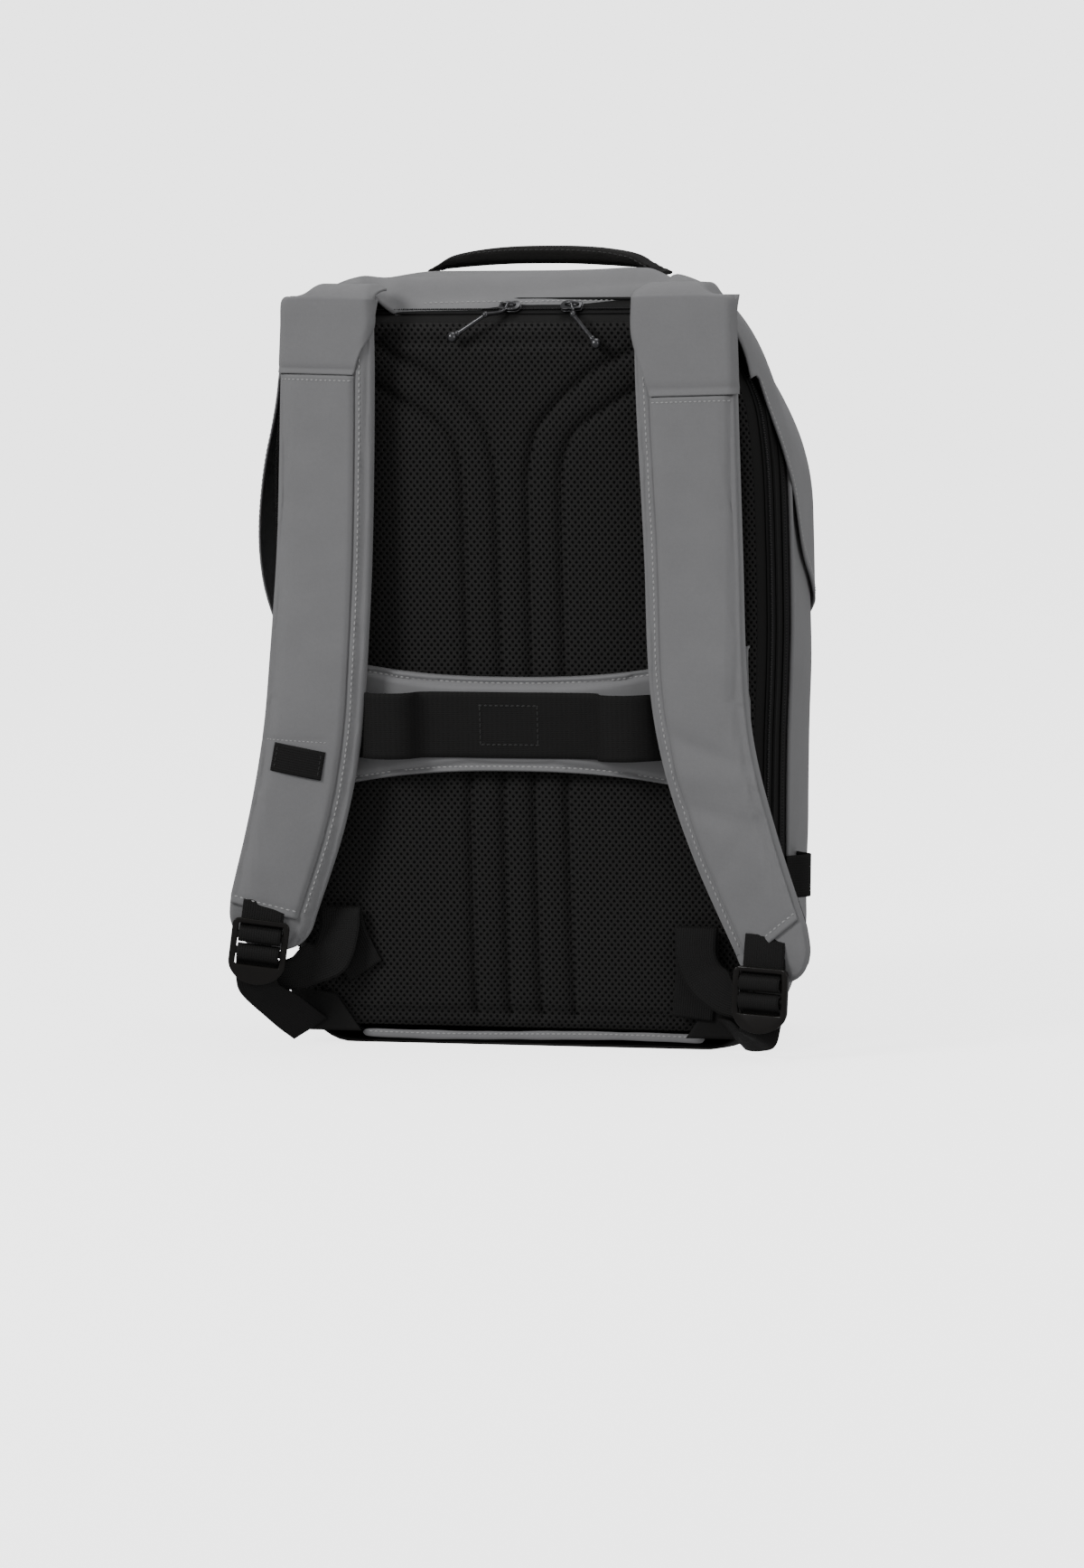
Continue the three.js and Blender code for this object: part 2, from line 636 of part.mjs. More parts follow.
function bandGeometry() {
  const half = panelHalf(BAND_CENTRE) - SEWN_GAP;
  const back = [];
  const front = [];
  for (const rise of [-1, -0.9, -0.45, 0, 0.45, 0.9, 1]) {
    const thick = Math.abs(rise) === 1 ? 0.35 : 1;
    const shares = [-1, -0.82, -0.62, -0.42, -0.21, 0, 0.21, 0.42, 0.62, 0.82, 1];
    const places = shares.map((share) => {
      const tall = lerp(BAND_HEIGHT, BAND_END_HEIGHT, Math.abs(share) ** 1.6);
      return { x: share * half, z: BAND_CENTRE + (rise * tall) / 2 };
    });
    back.push(places.map(({ x, z }) => new THREE.Vector3(x, bandBack(x), z)));
    front.push(places.map(({ x, z }) => new THREE.Vector3(x, lerp(bandBack(x), bandFront(x), thick), z)));
  }
  return slab(back, front);
}

// The elastic strap, sewn down in the middle and at its ends, with an open loop on each side
function elasticGeometry() {
  const lie = (x) => bandFront(x) - SEWN_GAP - ELASTIC_THICKNESS / 2;
  const loopInner = LOOP_CENTRE - LOOP_WIDTH / 2;
  const loopOuter = LOOP_CENTRE + LOOP_WIDTH / 2;
  const crest = lie(LOOP_CENTRE) - LOOP_DEPTH;
  const right = [
    { x: 0, y: lie(0) },
    { x: 0.28 * LOOP_CENTRE, y: lie(0.28 * LOOP_CENTRE) },
    { x: 0.55 * LOOP_CENTRE, y: lie(0.55 * LOOP_CENTRE) },
    { x: loopInner - 6, y: lerp(lie(loopInner), crest, 0.2) },
    { x: loopInner - 1, y: lerp(lie(loopInner), crest, 0.72) },
    { x: loopInner + 4, y: lerp(lie(loopInner), crest, 0.97) },
    { x: LOOP_CENTRE, y: crest - 0.5 },
    { x: loopOuter - 4, y: lerp(lie(loopOuter), crest, 0.95) },
    { x: loopOuter, y: lerp(lie(loopOuter), crest, 0.6) },
    { x: loopOuter + 3, y: lerp(lie(loopOuter), crest, 0.12) },
    { x: loopOuter + 7, y: lie(loopOuter + 7) },
    { x: ELASTIC_SPAN / 2, y: lie(ELASTIC_SPAN / 2) },
  ];
  const left = right.slice(1).reverse().map(({ x, y }) => ({ x: -x, y }));
  const across = new THREE.Vector3(0, 0, 1);
  const path = [...left, ...right].map(({ x, y }) => ({ at: new THREE.Vector3(x, y, BAND_CENTRE), across }));
  return ribbon(path, ELASTIC_WIDTH, ELASTIC_THICKNESS);
}

// Height of a strap's hem, on the left (side -1) or the right (side 1)
function hemHeight(side) {
  return side < 0 ? STRAP_HEM_LEFT : STRAP_HEM_RIGHT;
}

function strapPoint(side, drop) {
  const row = readTable(STRAP_PATH, "drop", drop);
  const x = side * (side < 0 ? row.left : row.right) * STRAP_REACH;
  const z = lerp(STRAP_TOP, hemHeight(side), drop);
  return new THREE.Vector3(x, panelFront(0, BAND_CENTRE) + 1 - row.standOff * STRAP_STAND_OFF, z);
}

// The strap's own directions at a share of its way down: along it, out to its outer edge, and forward
function strapFrame(side, drop) {
  const step = 0.03;
  const before = strapPoint(side, Math.max(drop - step, 0));
  const after = strapPoint(side, Math.min(drop + step, 1));
  return frameAlong(side, drop, after.sub(before).normalize());
}

// The same directions where the strap runs along a given way
function frameAlong(side, drop, along) {
  const row = readTable(STRAP_PATH, "drop", drop);
  const at = strapPoint(side, drop);
  const level = new THREE.Vector3(side, 0, 0);
  level.addScaledVector(along, -level.dot(along)).normalize();
  const facing = new THREE.Vector3().crossVectors(along, level).multiplyScalar(side);
  const roll = degToRad(row.roll);
  const across = level.clone().multiplyScalar(Math.cos(roll)).addScaledVector(facing, Math.sin(roll));
  const out = facing.clone().multiplyScalar(Math.cos(roll)).addScaledVector(level, -Math.sin(roll));
  const width = (side < 0 ? row.leftWidth : row.rightWidth) * STRAP_WIDTH;
  return { at, along, across, out, width, thick: 1 };
}

// The frames of a strap from one share of its way down to another
function strapFrames(side, from, to, steps) {
  return Array.from({ length: steps + 1 }, (unused, i) => strapFrame(side, lerp(from, to, i / steps)));
}

// The strap's directions at its hem for something that hangs from it and leans outwards
function hangFrame(side, lean) {
  const forward = strapFrame(side, 1).along.y;
  return frameAlong(side, 1, new THREE.Vector3(side * lean, forward, -1).normalize());
}

// The frames of the tongue that the strap ends in, below its hem
function tongueFrames(side) {
  const hem = hangFrame(side, side < 0 ? TONGUE_LEAN.left : TONGUE_LEAN.right);
  return TONGUE.map(({ along, width, thick }) => ({
    ...hem,
    at: hem.at.clone().addScaledVector(hem.along, along * TONGUE_LENGTH),
    width: hem.width * width,
    thick,
  }));
}

// A point of a strap: across as a share of half its width, lift in millimetres from its back
function onStrap(frame, across, lift) {
  const point = frame.at.clone().addScaledVector(frame.across, (across * frame.width) / 2);
  return point.addScaledVector(frame.out, lift);
}

function strapPadGeometry(side) {
  const frames = [...strapFrames(side, 0, 1, STRAP_STEPS), ...tongueFrames(side)];
  const base = STRAP_LINING + SEWN_GAP;
  const ring = (frame) =>
    PAD_SECTION.map(({ across, rise }) => onStrap(frame, across, base + rise * frame.thick * STRAP_PAD));
  return sweep(frames.map(ring));
}

// The black mesh underside of a strap, a little wider than the pad's flat back
function strapLiningGeometry(side) {
  const frames = [...strapFrames(side, 0, 1, STRAP_STEPS), ...tongueFrames(side).slice(0, 3)];
  const section = [[0.92, 1], [-0.92, 1], [-0.98, 0.5], [-0.9, 0], [0.9, 0], [0.98, 0.5]];
  const ring = (frame) => section.map(([across, rise]) => onStrap(frame, across, rise * STRAP_LINING));
  return sweep(frames.map(ring));
}

// How high a strap's pad stands at a place across it
function padLift(across) {
  const row = readTable(PAD_SECTION.slice(0, 7), "across", across);
  return STRAP_LINING + SEWN_GAP + row.rise * STRAP_PAD;
}

// A sheet that lies on the front of a strap, between two shares of its way down
function onStrapFront(side, from, to, steps, inner, outer, wall) {
  const places = [inner, -0.7, 0, 0.7, outer];
  const grid = strapFrames(side, from, to, steps).map((frame) => {
    const border = Math.max(inner, -1 + (2 * STRAP_BORDER) / frame.width);
    const own = inner < -0.7 ? [border, ...places.slice(1)] : places;
    return own.map((across) => onStrap(frame, across, padLift(across) + SEWN_GAP));
  });
  return sheet(grid, wall, -side);
}

// The share of a strap's way down that lies at a height
function dropAt(side, height) {
  return (STRAP_TOP - height) / (STRAP_TOP - hemHeight(side));
}

function yokeSeam(side) {
  return side < 0 ? YOKE_SEAM_LEFT : YOKE_SEAM_RIGHT;
}

function strapCoverGeometry(side) {
  const top = dropAt(side, yokeSeam(side) - SEWN_GAP);
  return onStrapFront(side, top, 1, STRAP_STEPS, -0.8, 0.92, STRAP_COVER);
}

// A yoke: from its seam up the front of the strap, over the top corner and back to the cover's edge
function yokeGeometry(side) {
  const seam = dropAt(side, yokeSeam(side) + SEWN_GAP);
  const places = [-0.78, -0.4, 0, 0.45, 0.99];
  const front = strapFrames(side, seam, 0, 3).map((frame) =>
    places.map((across) => onStrap(frame, across, STRAP_LINING + 1.04 * STRAP_PAD + 2 * SEWN_GAP)),
  );
  const upper = front[front.length - 1];
  const cornerTop = sectionAt(0).coverTop + COVER_LIFT;
  const turn = [
    { back: 0.06, rise: 0.45 },
    { back: 0.28, rise: 0.85 },
    { back: 0.6, rise: 1 },
    { back: 1, rise: 1 },
  ];
  const over = turn.map(({ back, rise }) =>
    upper.map(({ x, y, z }) => new THREE.Vector3(x, lerp(y, YOKE_WALL, back), lerp(z, cornerTop, rise))),
  );
  return sheet([...front, ...over], YOKE_WALL, side);
}

// The webbing patch sewn on the left strap's cover
function patchGeometry() {
  const drop = dropAt(-1, PATCH_HEIGHT);
  const frame = strapFrame(-1, drop);
  const place = (a, b) => {
    const across = (a * PATCH_LENGTH) / 2 / (frame.width / 2) + 0.28;
    const lift = padLift(0) + STRAP_COVER + 2 * SEWN_GAP;
    return onStrap(frame, across, lift).addScaledVector(frame.along, (b * PATCH_WIDTH) / 2);
  };
  const grid = [-1, 1].map((b) => [-1, 0, 1].map((a) => place(a, b)));
  return sheet(grid, WEBBING_THICKNESS, 1);
}

function buckleDrop(side) {
  return side < 0 ? BUCKLE_DROP_LEFT : BUCKLE_DROP_RIGHT;
}

// Where a buckle sits below its strap's hem, with its own directions
function buckleFrame(side) {
  const hem = hangFrame(side, side < 0 ? BUCKLE_LEAN.left : BUCKLE_LEAN.right);
  const lift = STRAP_LINING + STRAP_PAD + BUCKLE_STAND_OFF;
  const shift = side < 0 ? BUCKLE_SHIFT_LEFT : BUCKLE_SHIFT_RIGHT;
  const at = onStrap(hem, 0, lift).addScaledVector(hem.along, buckleDrop(side));
  at.addScaledVector(hem.across, shift);
  return { at, up: hem.along.clone().negate(), across: hem.across, out: hem.out };
}

function onBuckle(frame, across, up, out) {
  const point = frame.at.clone().addScaledVector(frame.across, across);
  return point.addScaledVector(frame.up, up).addScaledVector(frame.out, out);
}

// The buckle's slots, from its lip up: millimetres from its middle
const BUCKLE_SLOTS = [
  { low: -9, high: -2.8 },
  { low: 1.2, high: 6.6 },
  { low: 10.6, high: 15.6 },
];

// The ladder-lock: a frame with two bars across its window and a round lip to lift
function buckleGeometry(side) {
  const half = BUCKLE_WIDTH / 2;
  const corner = 4;
  const shape = new THREE.Shape();
  shape.moveTo(-half, BUCKLE_TOP - corner);
  shape.absarc(-half + corner, BUCKLE_TOP - corner, corner, Math.PI, Math.PI / 2, true);
  shape.lineTo(half - corner, BUCKLE_TOP);
  shape.absarc(half - corner, BUCKLE_TOP - corner, corner, Math.PI / 2, 0, true);
  shape.lineTo(half, -BUCKLE_LIP / 3);
  shape.absellipse(0, -BUCKLE_LIP / 3, half, (2 * BUCKLE_LIP) / 3, 0, -Math.PI, true);
  const settings = { depth: BUCKLE_THICKNESS, bevelEnabled: false, curveSegments: 5 };
  const plate = new THREE.ExtrudeGeometry(shape, settings);
  const slots = BUCKLE_SLOTS.map(({ low, high }) => {
    const slot = new THREE.BoxGeometry(SLOT_WIDTH, high - low, 3 * BUCKLE_THICKNESS);
    return manifoldOf(slot.translate(0, (low + high) / 2, BUCKLE_THICKNESS / 2));
  });
  const geometry = geometryOf(slots.reduce((whole, slot) => whole.subtract(slot), manifoldOf(plate)));
  geometry.translate(0, 0, -BUCKLE_THICKNESS / 2);
  const { at, up, across, out } = buckleFrame(side);
  const right = across.clone().multiplyScalar(side);
  geometry.applyMatrix4(new THREE.Matrix4().makeBasis(right, up, out).setPosition(at));
  return geometry;
}

// The sewn webbing that hangs a buckle on its strap: down from the hem, over the upper bar and back
// up behind. up and out are millimetres from the buckle's middle.
const HANGER_FRONT = -3.2;
const HANGER_BACK = -6.3;
const HANGER_PATH = [
  { up: 15, out: -2.9 },
  { up: 13, out: 0 },
  { up: 12, out: 2.3 },
  { up: 8.6, out: 3.1 },
  { up: 5.8, out: 2.3 },
  { up: 5, out: 0 },
  { up: 5.2, out: -2.6 },
  { up: 8, out: -5.4 },
];
const HANGER_HEM_GAP = 8;

function hangerGeometry(side) {
  const frame = buckleFrame(side);
  const hem = buckleDrop(side) - HANGER_HEM_GAP;
  const stops = [{ up: hem, out: HANGER_FRONT }, ...HANGER_PATH, { up: hem, out: HANGER_BACK }];
  const path = stops.map(({ up, out }) => ({ at: onBuckle(frame, 0, up, out), across: frame.across }));
  return ribbon(path, WEBBING_WIDTH, WEBBING_THICKNESS);
}

// The adjusting webbing where it passes the buckle: up behind the lip, over the lower bar and back.
// up and out are millimetres from the buckle's middle.
const ADJUSTER_PATH = [
  { up: -24, out: -7 },
  { up: -18, out: -4.4 },
  { up: -13, out: -3.4 },
  { up: -8.4, out: -2.8 },
  { up: -5.9, out: 0 },
  { up: -4.8, out: 2.2 },
  { up: -1, out: 3.1 },
  { up: 1.7, out: 2.2 },
  { up: 2.5, out: 0 },
  { up: 2.6, out: -2.6 },
  { up: 0, out: -6.2 },
  { up: -6, out: -9 },
];

// Where each webbing is sewn to its corner and where its free tail goes behind the buckle, in
// millimetres from the bag's middle, its back seam and its base. turn is the angle in degrees
// from level of the webbing's width, downwards from its outer edge.
const ANCHORS = { left: { x: 128, z: 9.5, turn: 38 }, right: { x: 139, z: 8.5, turn: 16 } };
const TAIL_LEFT = [
  { x: 146, y: -33, z: 47, turn: 34 },
  { x: 137, y: -28, z: 46, turn: 72 },
  { x: 126, y: -24, z: 50, turn: 108 },
  { x: 116, y: -21, z: 54, turn: 145 },
  { x: 111, y: -18, z: 70, turn: 180 },
  { x: 111, y: -16.4, z: 79, turn: 180 },
  { x: 111, y: -14, z: 82.5, turn: 180 },
  { x: 111, y: -12, z: 78, turn: 180 },
  { x: 109, y: -11.2, z: 67, turn: 192 },
  { x: 104, y: -11, z: 55, turn: 205 },
  { x: 98, y: -10.9, z: 44, turn: 211 },
];
const TAIL_RIGHT = [
  { x: 150, y: -31, z: 30.5, turn: 38 },
  { x: 140, y: -26, z: 34, turn: 72 },
  { x: 128, y: -21, z: 38, turn: 112 },
  { x: 117, y: -17, z: 46, turn: 150 },
  { x: 112, y: -16.4, z: 58, turn: 180 },
  { x: 112, y: -15.6, z: 70, turn: 180 },
  { x: 112, y: -13.6, z: 74.5, turn: 180 },
  { x: 112, y: -11.8, z: 70, turn: 180 },
  { x: 111, y: -11.2, z: 56, turn: 184 },
  { x: 109, y: -11, z: 38, turn: 186 },
  { x: 107, y: -10.9, z: 20, turn: 186 },
];
const TAB_THICKNESS = 1.6;

function tabFront() {
  return -SEWN_GAP - PANEL_RIM - PANEL_CROWN - SEWN_GAP - TAB_THICKNESS;
}

// A direction across the webbing, out towards its outer edge and turned down from level
function webbingAcross(side, turn) {
  const angle = degToRad(turn);
  return new THREE.Vector3(side * Math.cos(angle), 0, -Math.sin(angle));
}

function adjusterGeometry(side) {
  const frame = buckleFrame(side);
  const passing = ADJUSTER_PATH.map(({ up, out }) => {
    return { at: onBuckle(frame, 0, up, out), across: frame.across };
  });
  const lie = tabFront() - SEWN_GAP - WEBBING_THICKNESS / 2;
  const anchor = side < 0 ? ANCHORS.left : ANCHORS.right;
  const sewn = new THREE.Vector3(side * anchor.x, lie, anchor.z);
  const across = webbingAcross(side, anchor.turn);
  const first = passing[0].at;
  const start = [
    { at: sewn, across },
    { at: sewn.clone().lerp(first, 0.3).setY(lie - 4), across },
    { at: sewn.clone().lerp(first, 0.7), across: across.clone().lerp(frame.across, 0.4) },
  ];
  const tail = (side < 0 ? TAIL_LEFT : TAIL_RIGHT).map(({ x, y, z, turn }) => {
    return { at: new THREE.Vector3(side * x, y, z), across: webbingAcross(side, turn) };
  });
  return ribbon([...start, ...passing, ...tail], WEBBING_WIDTH, WEBBING_THICKNESS);
}

// The fabric corner that the webbing is sewn to, on the lower corner of the back panel
function anchorTabGeometry(side) {
  const lie = tabFront() + TAB_THICKNESS;
  const grid = [
    [new THREE.Vector3(side * 102, lie, 8), new THREE.Vector3(side * 138, lie, 8)],
    [new THREE.Vector3(side * 118, lie, 30), new THREE.Vector3(side * 147, lie, 34)],
  ];
  return sheet(grid, TAB_THICKNESS, side);
}

// The webbing loop on the right side, standing off between its two sewn ends
function sideLoopGeometry() {
  const middle = GUSSET_DEPTH + 8;
  const stations = [-0.5, -0.36, -0.18, 0, 0.18, 0.36, 0.5];
  const path = stations.map((share) => {
    const y = middle + share * SIDE_LOOP_SPAN;
    const clear = 3 * SEWN_GAP + WEBBING_THICKNESS / 2;
    const side = drawnIn(sectionAt(y).half, SIDE_LOOP_HEIGHT) + clear;
    const x = side + SIDE_LOOP_BULGE * hump(share * 1.9);
    return { at: new THREE.Vector3(x, y, SIDE_LOOP_HEIGHT), across: new THREE.Vector3(0, 0.12, 1) };
  });
  return ribbon(path, WEBBING_WIDTH, WEBBING_THICKNESS);
}

// The padded handle over the crown
function handleGeometry() {
  const edge = HANDLE_DEPTH - HANDLE_WIDTH / 2;
  const foot = sectionAt(edge).coverTop + coverGap(edge) + COVER_WALL + SEWN_GAP;
  const right = HANDLE_PATH.slice(0, -1).reverse().map((row) => ({ ...row, along: -row.along }));
  const section = PAD_SECTION.map(({ across, rise }) => [across, rise]);
  const rings = [...HANDLE_PATH, ...right].map((row) =>
    section.map(([across, rise]) => {
      const y = HANDLE_DEPTH + (across * row.width * HANDLE_WIDTH) / 2;
      const z = foot + row.rise * HANDLE_RISE + rise * row.thickness * HANDLE_THICKNESS;
      return new THREE.Vector3((row.along * HANDLE_SPAN) / 2, y, z);
    }),
  );
  return sweep(rings);
}

// The slope of the gusset's top under the main zip, as directions in depth and height
function zipSlope() {
  const low = sectionAt(MAIN_ZIP_AT);
  const high = sectionAt(MAIN_ZIP_AT + ZIP_WIDTH);
  const along = new THREE.Vector3(0, ZIP_WIDTH, high.top - low.top).normalize();
  const out = new THREE.Vector3(0, -along.z, along.y);
  const middle = new THREE.Vector3(0, MAIN_ZIP_AT + ZIP_WIDTH / 2, (low.top + high.top) / 2);
  return { along, out, middle };
}

// A zip slider, wider at its mouth, that rides on the chain
function sliderGeometry(x, facing) {
  const half = SLIDER_WIDTH / 2;
  const shape = new THREE.Shape();
  shape.moveTo(-SLIDER_LENGTH / 2, -0.7 * half);
  shape.lineTo(0.1 * SLIDER_LENGTH, -half);
  shape.absarc(SLIDER_LENGTH / 2 - half * 0.6, 0, half, -Math.PI / 2, Math.PI / 2, false);
  shape.lineTo(-SLIDER_LENGTH / 2, 0.7 * half);
  shape.closePath();
  const settings = { depth: SLIDER_HEIGHT, bevelEnabled: false, curveSegments: 4 };
  const geometry = new THREE.ExtrudeGeometry(shape, settings);
  const { along, out, middle } = zipSlope();
  const lift = BAND_GAP + ZIP_THICKNESS + SEWN_GAP;
  const right = new THREE.Vector3(facing, 0, 0);
  const side = along.clone().multiplyScalar(facing);
  const at = middle.clone().setX(x).addScaledVector(out, lift);
  geometry.applyMatrix4(new THREE.Matrix4().makeBasis(right, side, out).setPosition(at));
  return geometry;
}

// A pull along its points: thin rods with a knuckle at each joint and a ball at the free end
function pullGeometry(points) {
  const rods = points.slice(1).map((to, i) => {
    const along = to.clone().sub(points[i]);
    const axis = new THREE.Vector3(0, 1, 0);
    const turn = new THREE.Quaternion().setFromUnitVectors(axis, along.clone().normalize());
    const middle = points[i].clone().add(to).multiplyScalar(0.5);
    const rod = new THREE.CylinderGeometry(PULL_ROD_RADIUS, PULL_ROD_RADIUS, along.length(), 7);
    return rod.applyQuaternion(turn).translate(middle.x, middle.y, middle.z);
  });
  const ends = points.map((point, i) => {
    const radius = i < points.length - 1 ? KNUCKLE_RADIUS : PULL_BALL_RADIUS;
    return new THREE.SphereGeometry(radius, 9, 6).translate(point.x, point.y, point.z);
  });
  return geometryOf([...rods, ...ends].map(manifoldOf).reduce((whole, piece) => whole.add(piece)));
}

// A pull that hangs from its slider over the top of the back panel
function hangingPull(sliderX, reach, drop) {
  const { along, out, middle } = zipSlope();
  const clear = (SLIDER_NOSE * SLIDER_WIDTH) / 2 + KNUCKLE_RADIUS + SEWN_GAP;
  const knuckle = middle.clone().setX(sliderX + 0.1 * reach).addScaledVector(along, -clear);
  knuckle.addScaledVector(out, BAND_GAP + SEWN_GAP + ZIP_THICKNESS + 0.6 * SLIDER_HEIGHT);
  const panel = panelFront(0, BAND_CENTRE);
  const elbow = new THREE.Vector3(sliderX + 0.3 * reach, panel - PULL_ROD_RADIUS, knuckle.z - 1);
  const ball = new THREE.Vector3(sliderX + reach, panel - PULL_BALL_RADIUS - SEWN_GAP, knuckle.z - drop);
  return pullGeometry([knuckle, elbow, ball]);
}

// Finishes of the bag
const finish = (color, roughness, metalness) => {
  return new THREE.MeshStandardMaterial({ color, roughness, metalness });
};
const greyFabric = finish(0x77777a, 0.85, 0);
const blackFabric = finish(0x2a2a2b, 0.85, 0);
const blackMesh = finish(0x303031, 0.95, 0);
const blackWebbing = finish(0x252525, 0.8, 0);
const zipBlack = finish(0x191919, 0.55, 0);
const bucklePlastic = finish(0x1c1b1a, 0.4, 0);
const gunmetal = finish(0x3a3a3c, 0.3, 0.9);

const bag = new THREE.Group();
bag.position.y = -SHELL_DEPTH / 2;

function addPiece(name, geometry, material) {
  const mesh = new THREE.Mesh(geometry, material.clone());
  mesh.name = name;
  bag.add(mesh);
}

addPiece("back_panel", panelGeometry(), blackMesh);
addPiece("bottom_binding", bindingGeometry(), greyFabric);
addPiece("gusset", gussetGeometry(), blackFabric);
addPiece("main_zip", gussetBand(MAIN_ZIP_AT, ZIP_WIDTH, ZIP_THICKNESS), zipBlack);
addPiece("front_zip", gussetBand(FRONT_ZIP_AT, ZIP_WIDTH, ZIP_THICKNESS), zipBlack);
const pipingAt = GUSSET_DEPTH - PIPING_WIDTH / 2;
addPiece("side_piping", gussetBand(pipingAt, PIPING_WIDTH, PIPING_THICKNESS), greyFabric);
addPiece("front_shell", shellGeometry(), greyFabric);
addPiece("front_cover", coverGeometry(), greyFabric);
addPiece("lumbar_band", bandGeometry(), greyFabric);
addPiece("luggage_strap", elasticGeometry(), blackWebbing);
addPiece("strap_patch_left", patchGeometry(), blackWebbing);
addPiece("side_loop_right", sideLoopGeometry(), blackWebbing);
addPiece("top_handle", handleGeometry(), blackFabric);
for (const [name, side] of [["left", -1], ["right", 1]]) {
  addPiece("yoke_" + name, yokeGeometry(side), greyFabric);
  addPiece("strap_lining_" + name, strapLiningGeometry(side), blackMesh);
  addPiece("strap_pad_" + name, strapPadGeometry(side), greyFabric);
  addPiece("strap_cover_" + name, strapCoverGeometry(side), greyFabric);
  addPiece("buckle_" + name, buckleGeometry(side), bucklePlastic);
  addPiece("buckle_webbing_" + name, hangerGeometry(side), blackWebbing);
  addPiece("adjuster_webbing_" + name, adjusterGeometry(side), blackWebbing);
  addPiece("anchor_tab_" + name, anchorTabGeometry(side), blackFabric);
}
addPiece("zip_slider_left", sliderGeometry(SLIDER_LEFT_X, 1), gunmetal);
addPiece("zip_slider_right", sliderGeometry(SLIDER_RIGHT_X, -1), gunmetal);
addPiece("zip_pull_left", hangingPull(SLIDER_LEFT_X, -29, 14), gunmetal);
addPiece("zip_pull_right", hangingPull(SLIDER_RIGHT_X, 21, 18), gunmetal);

export default bag;
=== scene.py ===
# %% [markdown]
# A slim laptop backpack, seen from the side that lies on the wearer's back. The sizes come from the
# frame, and this lesson dresses it piece by piece: cloth, pads, straps, zips and stitches.

# %% Load the frame
import json
import math
from functools import lru_cache

import bmesh
import bpy
from mathutils import Matrix, Vector, noise
from mathutils.bvhtree import BVHTree

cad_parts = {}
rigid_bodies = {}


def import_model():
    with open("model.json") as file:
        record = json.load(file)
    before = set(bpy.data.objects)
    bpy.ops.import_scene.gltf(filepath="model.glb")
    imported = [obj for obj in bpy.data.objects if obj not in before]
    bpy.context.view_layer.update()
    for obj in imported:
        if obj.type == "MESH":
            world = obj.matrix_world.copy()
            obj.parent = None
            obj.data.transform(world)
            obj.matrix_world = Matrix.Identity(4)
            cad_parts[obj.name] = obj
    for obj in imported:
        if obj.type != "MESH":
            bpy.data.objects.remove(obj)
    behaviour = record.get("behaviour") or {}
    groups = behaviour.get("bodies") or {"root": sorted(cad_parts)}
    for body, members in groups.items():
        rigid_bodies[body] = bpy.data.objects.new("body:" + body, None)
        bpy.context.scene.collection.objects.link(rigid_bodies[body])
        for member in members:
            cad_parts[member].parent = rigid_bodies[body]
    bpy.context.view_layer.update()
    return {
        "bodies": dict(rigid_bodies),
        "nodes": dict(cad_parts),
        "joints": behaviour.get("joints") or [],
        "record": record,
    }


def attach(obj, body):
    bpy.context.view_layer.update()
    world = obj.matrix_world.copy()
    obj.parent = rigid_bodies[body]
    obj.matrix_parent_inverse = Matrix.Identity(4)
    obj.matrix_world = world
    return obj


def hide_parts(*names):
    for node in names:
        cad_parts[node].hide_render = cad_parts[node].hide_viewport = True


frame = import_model()

# %% [markdown]
# The sizes are in millimetres, as on a maker's drawing. The drawing counts depth from the seam round
# the back panel, and the frame counts it from the middle of the base, half the bag's depth away.

# %% Sizes of the bag
HEIGHT = 453
HALF_WIDTH = 156.5
DEPTH = 125
GUSSET = 38
CROWN = 8
COVER_LIFT = 2.4
COVER_REST = 1.8
HEM = 235
PANEL_BOTTOM = 11


def metres(x, depth, z):
    """A point of the drawing, in the frame."""
    return Vector((x, depth - DEPTH / 2, z)) / 1000


def mix(a, b, share):
    return a + (b - a) * share


def clamp(value, low=0.0, high=1.0):
    return min(max(value, low), high)


def ease(low, high, value):
    """0 below low, 1 above high and a smooth step between them."""
    t = clamp((value - low) / (high - low))
    return t * t * (3 - 2 * t)


def flowing(rows):
    """A smooth curve through a table's rows: the first column is the place, the others are read there."""
    keys = [row[0] for row in rows]
    slopes = []
    for i, row in enumerate(rows):
        a, b = rows[max(i - 1, 0)], rows[min(i + 1, len(rows) - 1)]
        slopes.append([(y - x) / (b[0] - a[0]) for x, y in zip(a[1:], b[1:])])

    @lru_cache(maxsize=None)
    def read(value):
        value = clamp(value, keys[0], keys[-1])
        i = max(j for j in range(len(keys) - 1) if keys[j] <= value)
        span = keys[i + 1] - keys[i]
        t = (value - keys[i]) / span
        h = (2 * t**3 - 3 * t * t + 1, t**3 - 2 * t * t + t, 3 * t * t - 2 * t**3, t**3 - t * t)
        ends = zip(rows[i][1:], slopes[i], rows[i + 1][1:], slopes[i + 1])
        return [h[0] * a + h[1] * span * m + h[2] * b + h[3] * span * n for a, m, b, n in ends]

    return read


print("bag", 2 * HALF_WIDTH, "x", DEPTH, "x", HEIGHT, "mm")

# %% [markdown]
# The photograph looks 20 degrees from the right of square on, and 6 degrees down, through a very long
# lens. The bag leans a little to the left in it, so the camera is rolled by as much. The camera comes
# first, because each piece is then judged in it.

# %% Camera at the photograph's angle
AZIMUTH, ELEVATION, ROLL = math.radians(20), math.radians(6), math.radians(1.4)
PIXELS_ACROSS = 1200
FOCAL_PIXELS = 10300
CAMERA_DISTANCE = 5.508

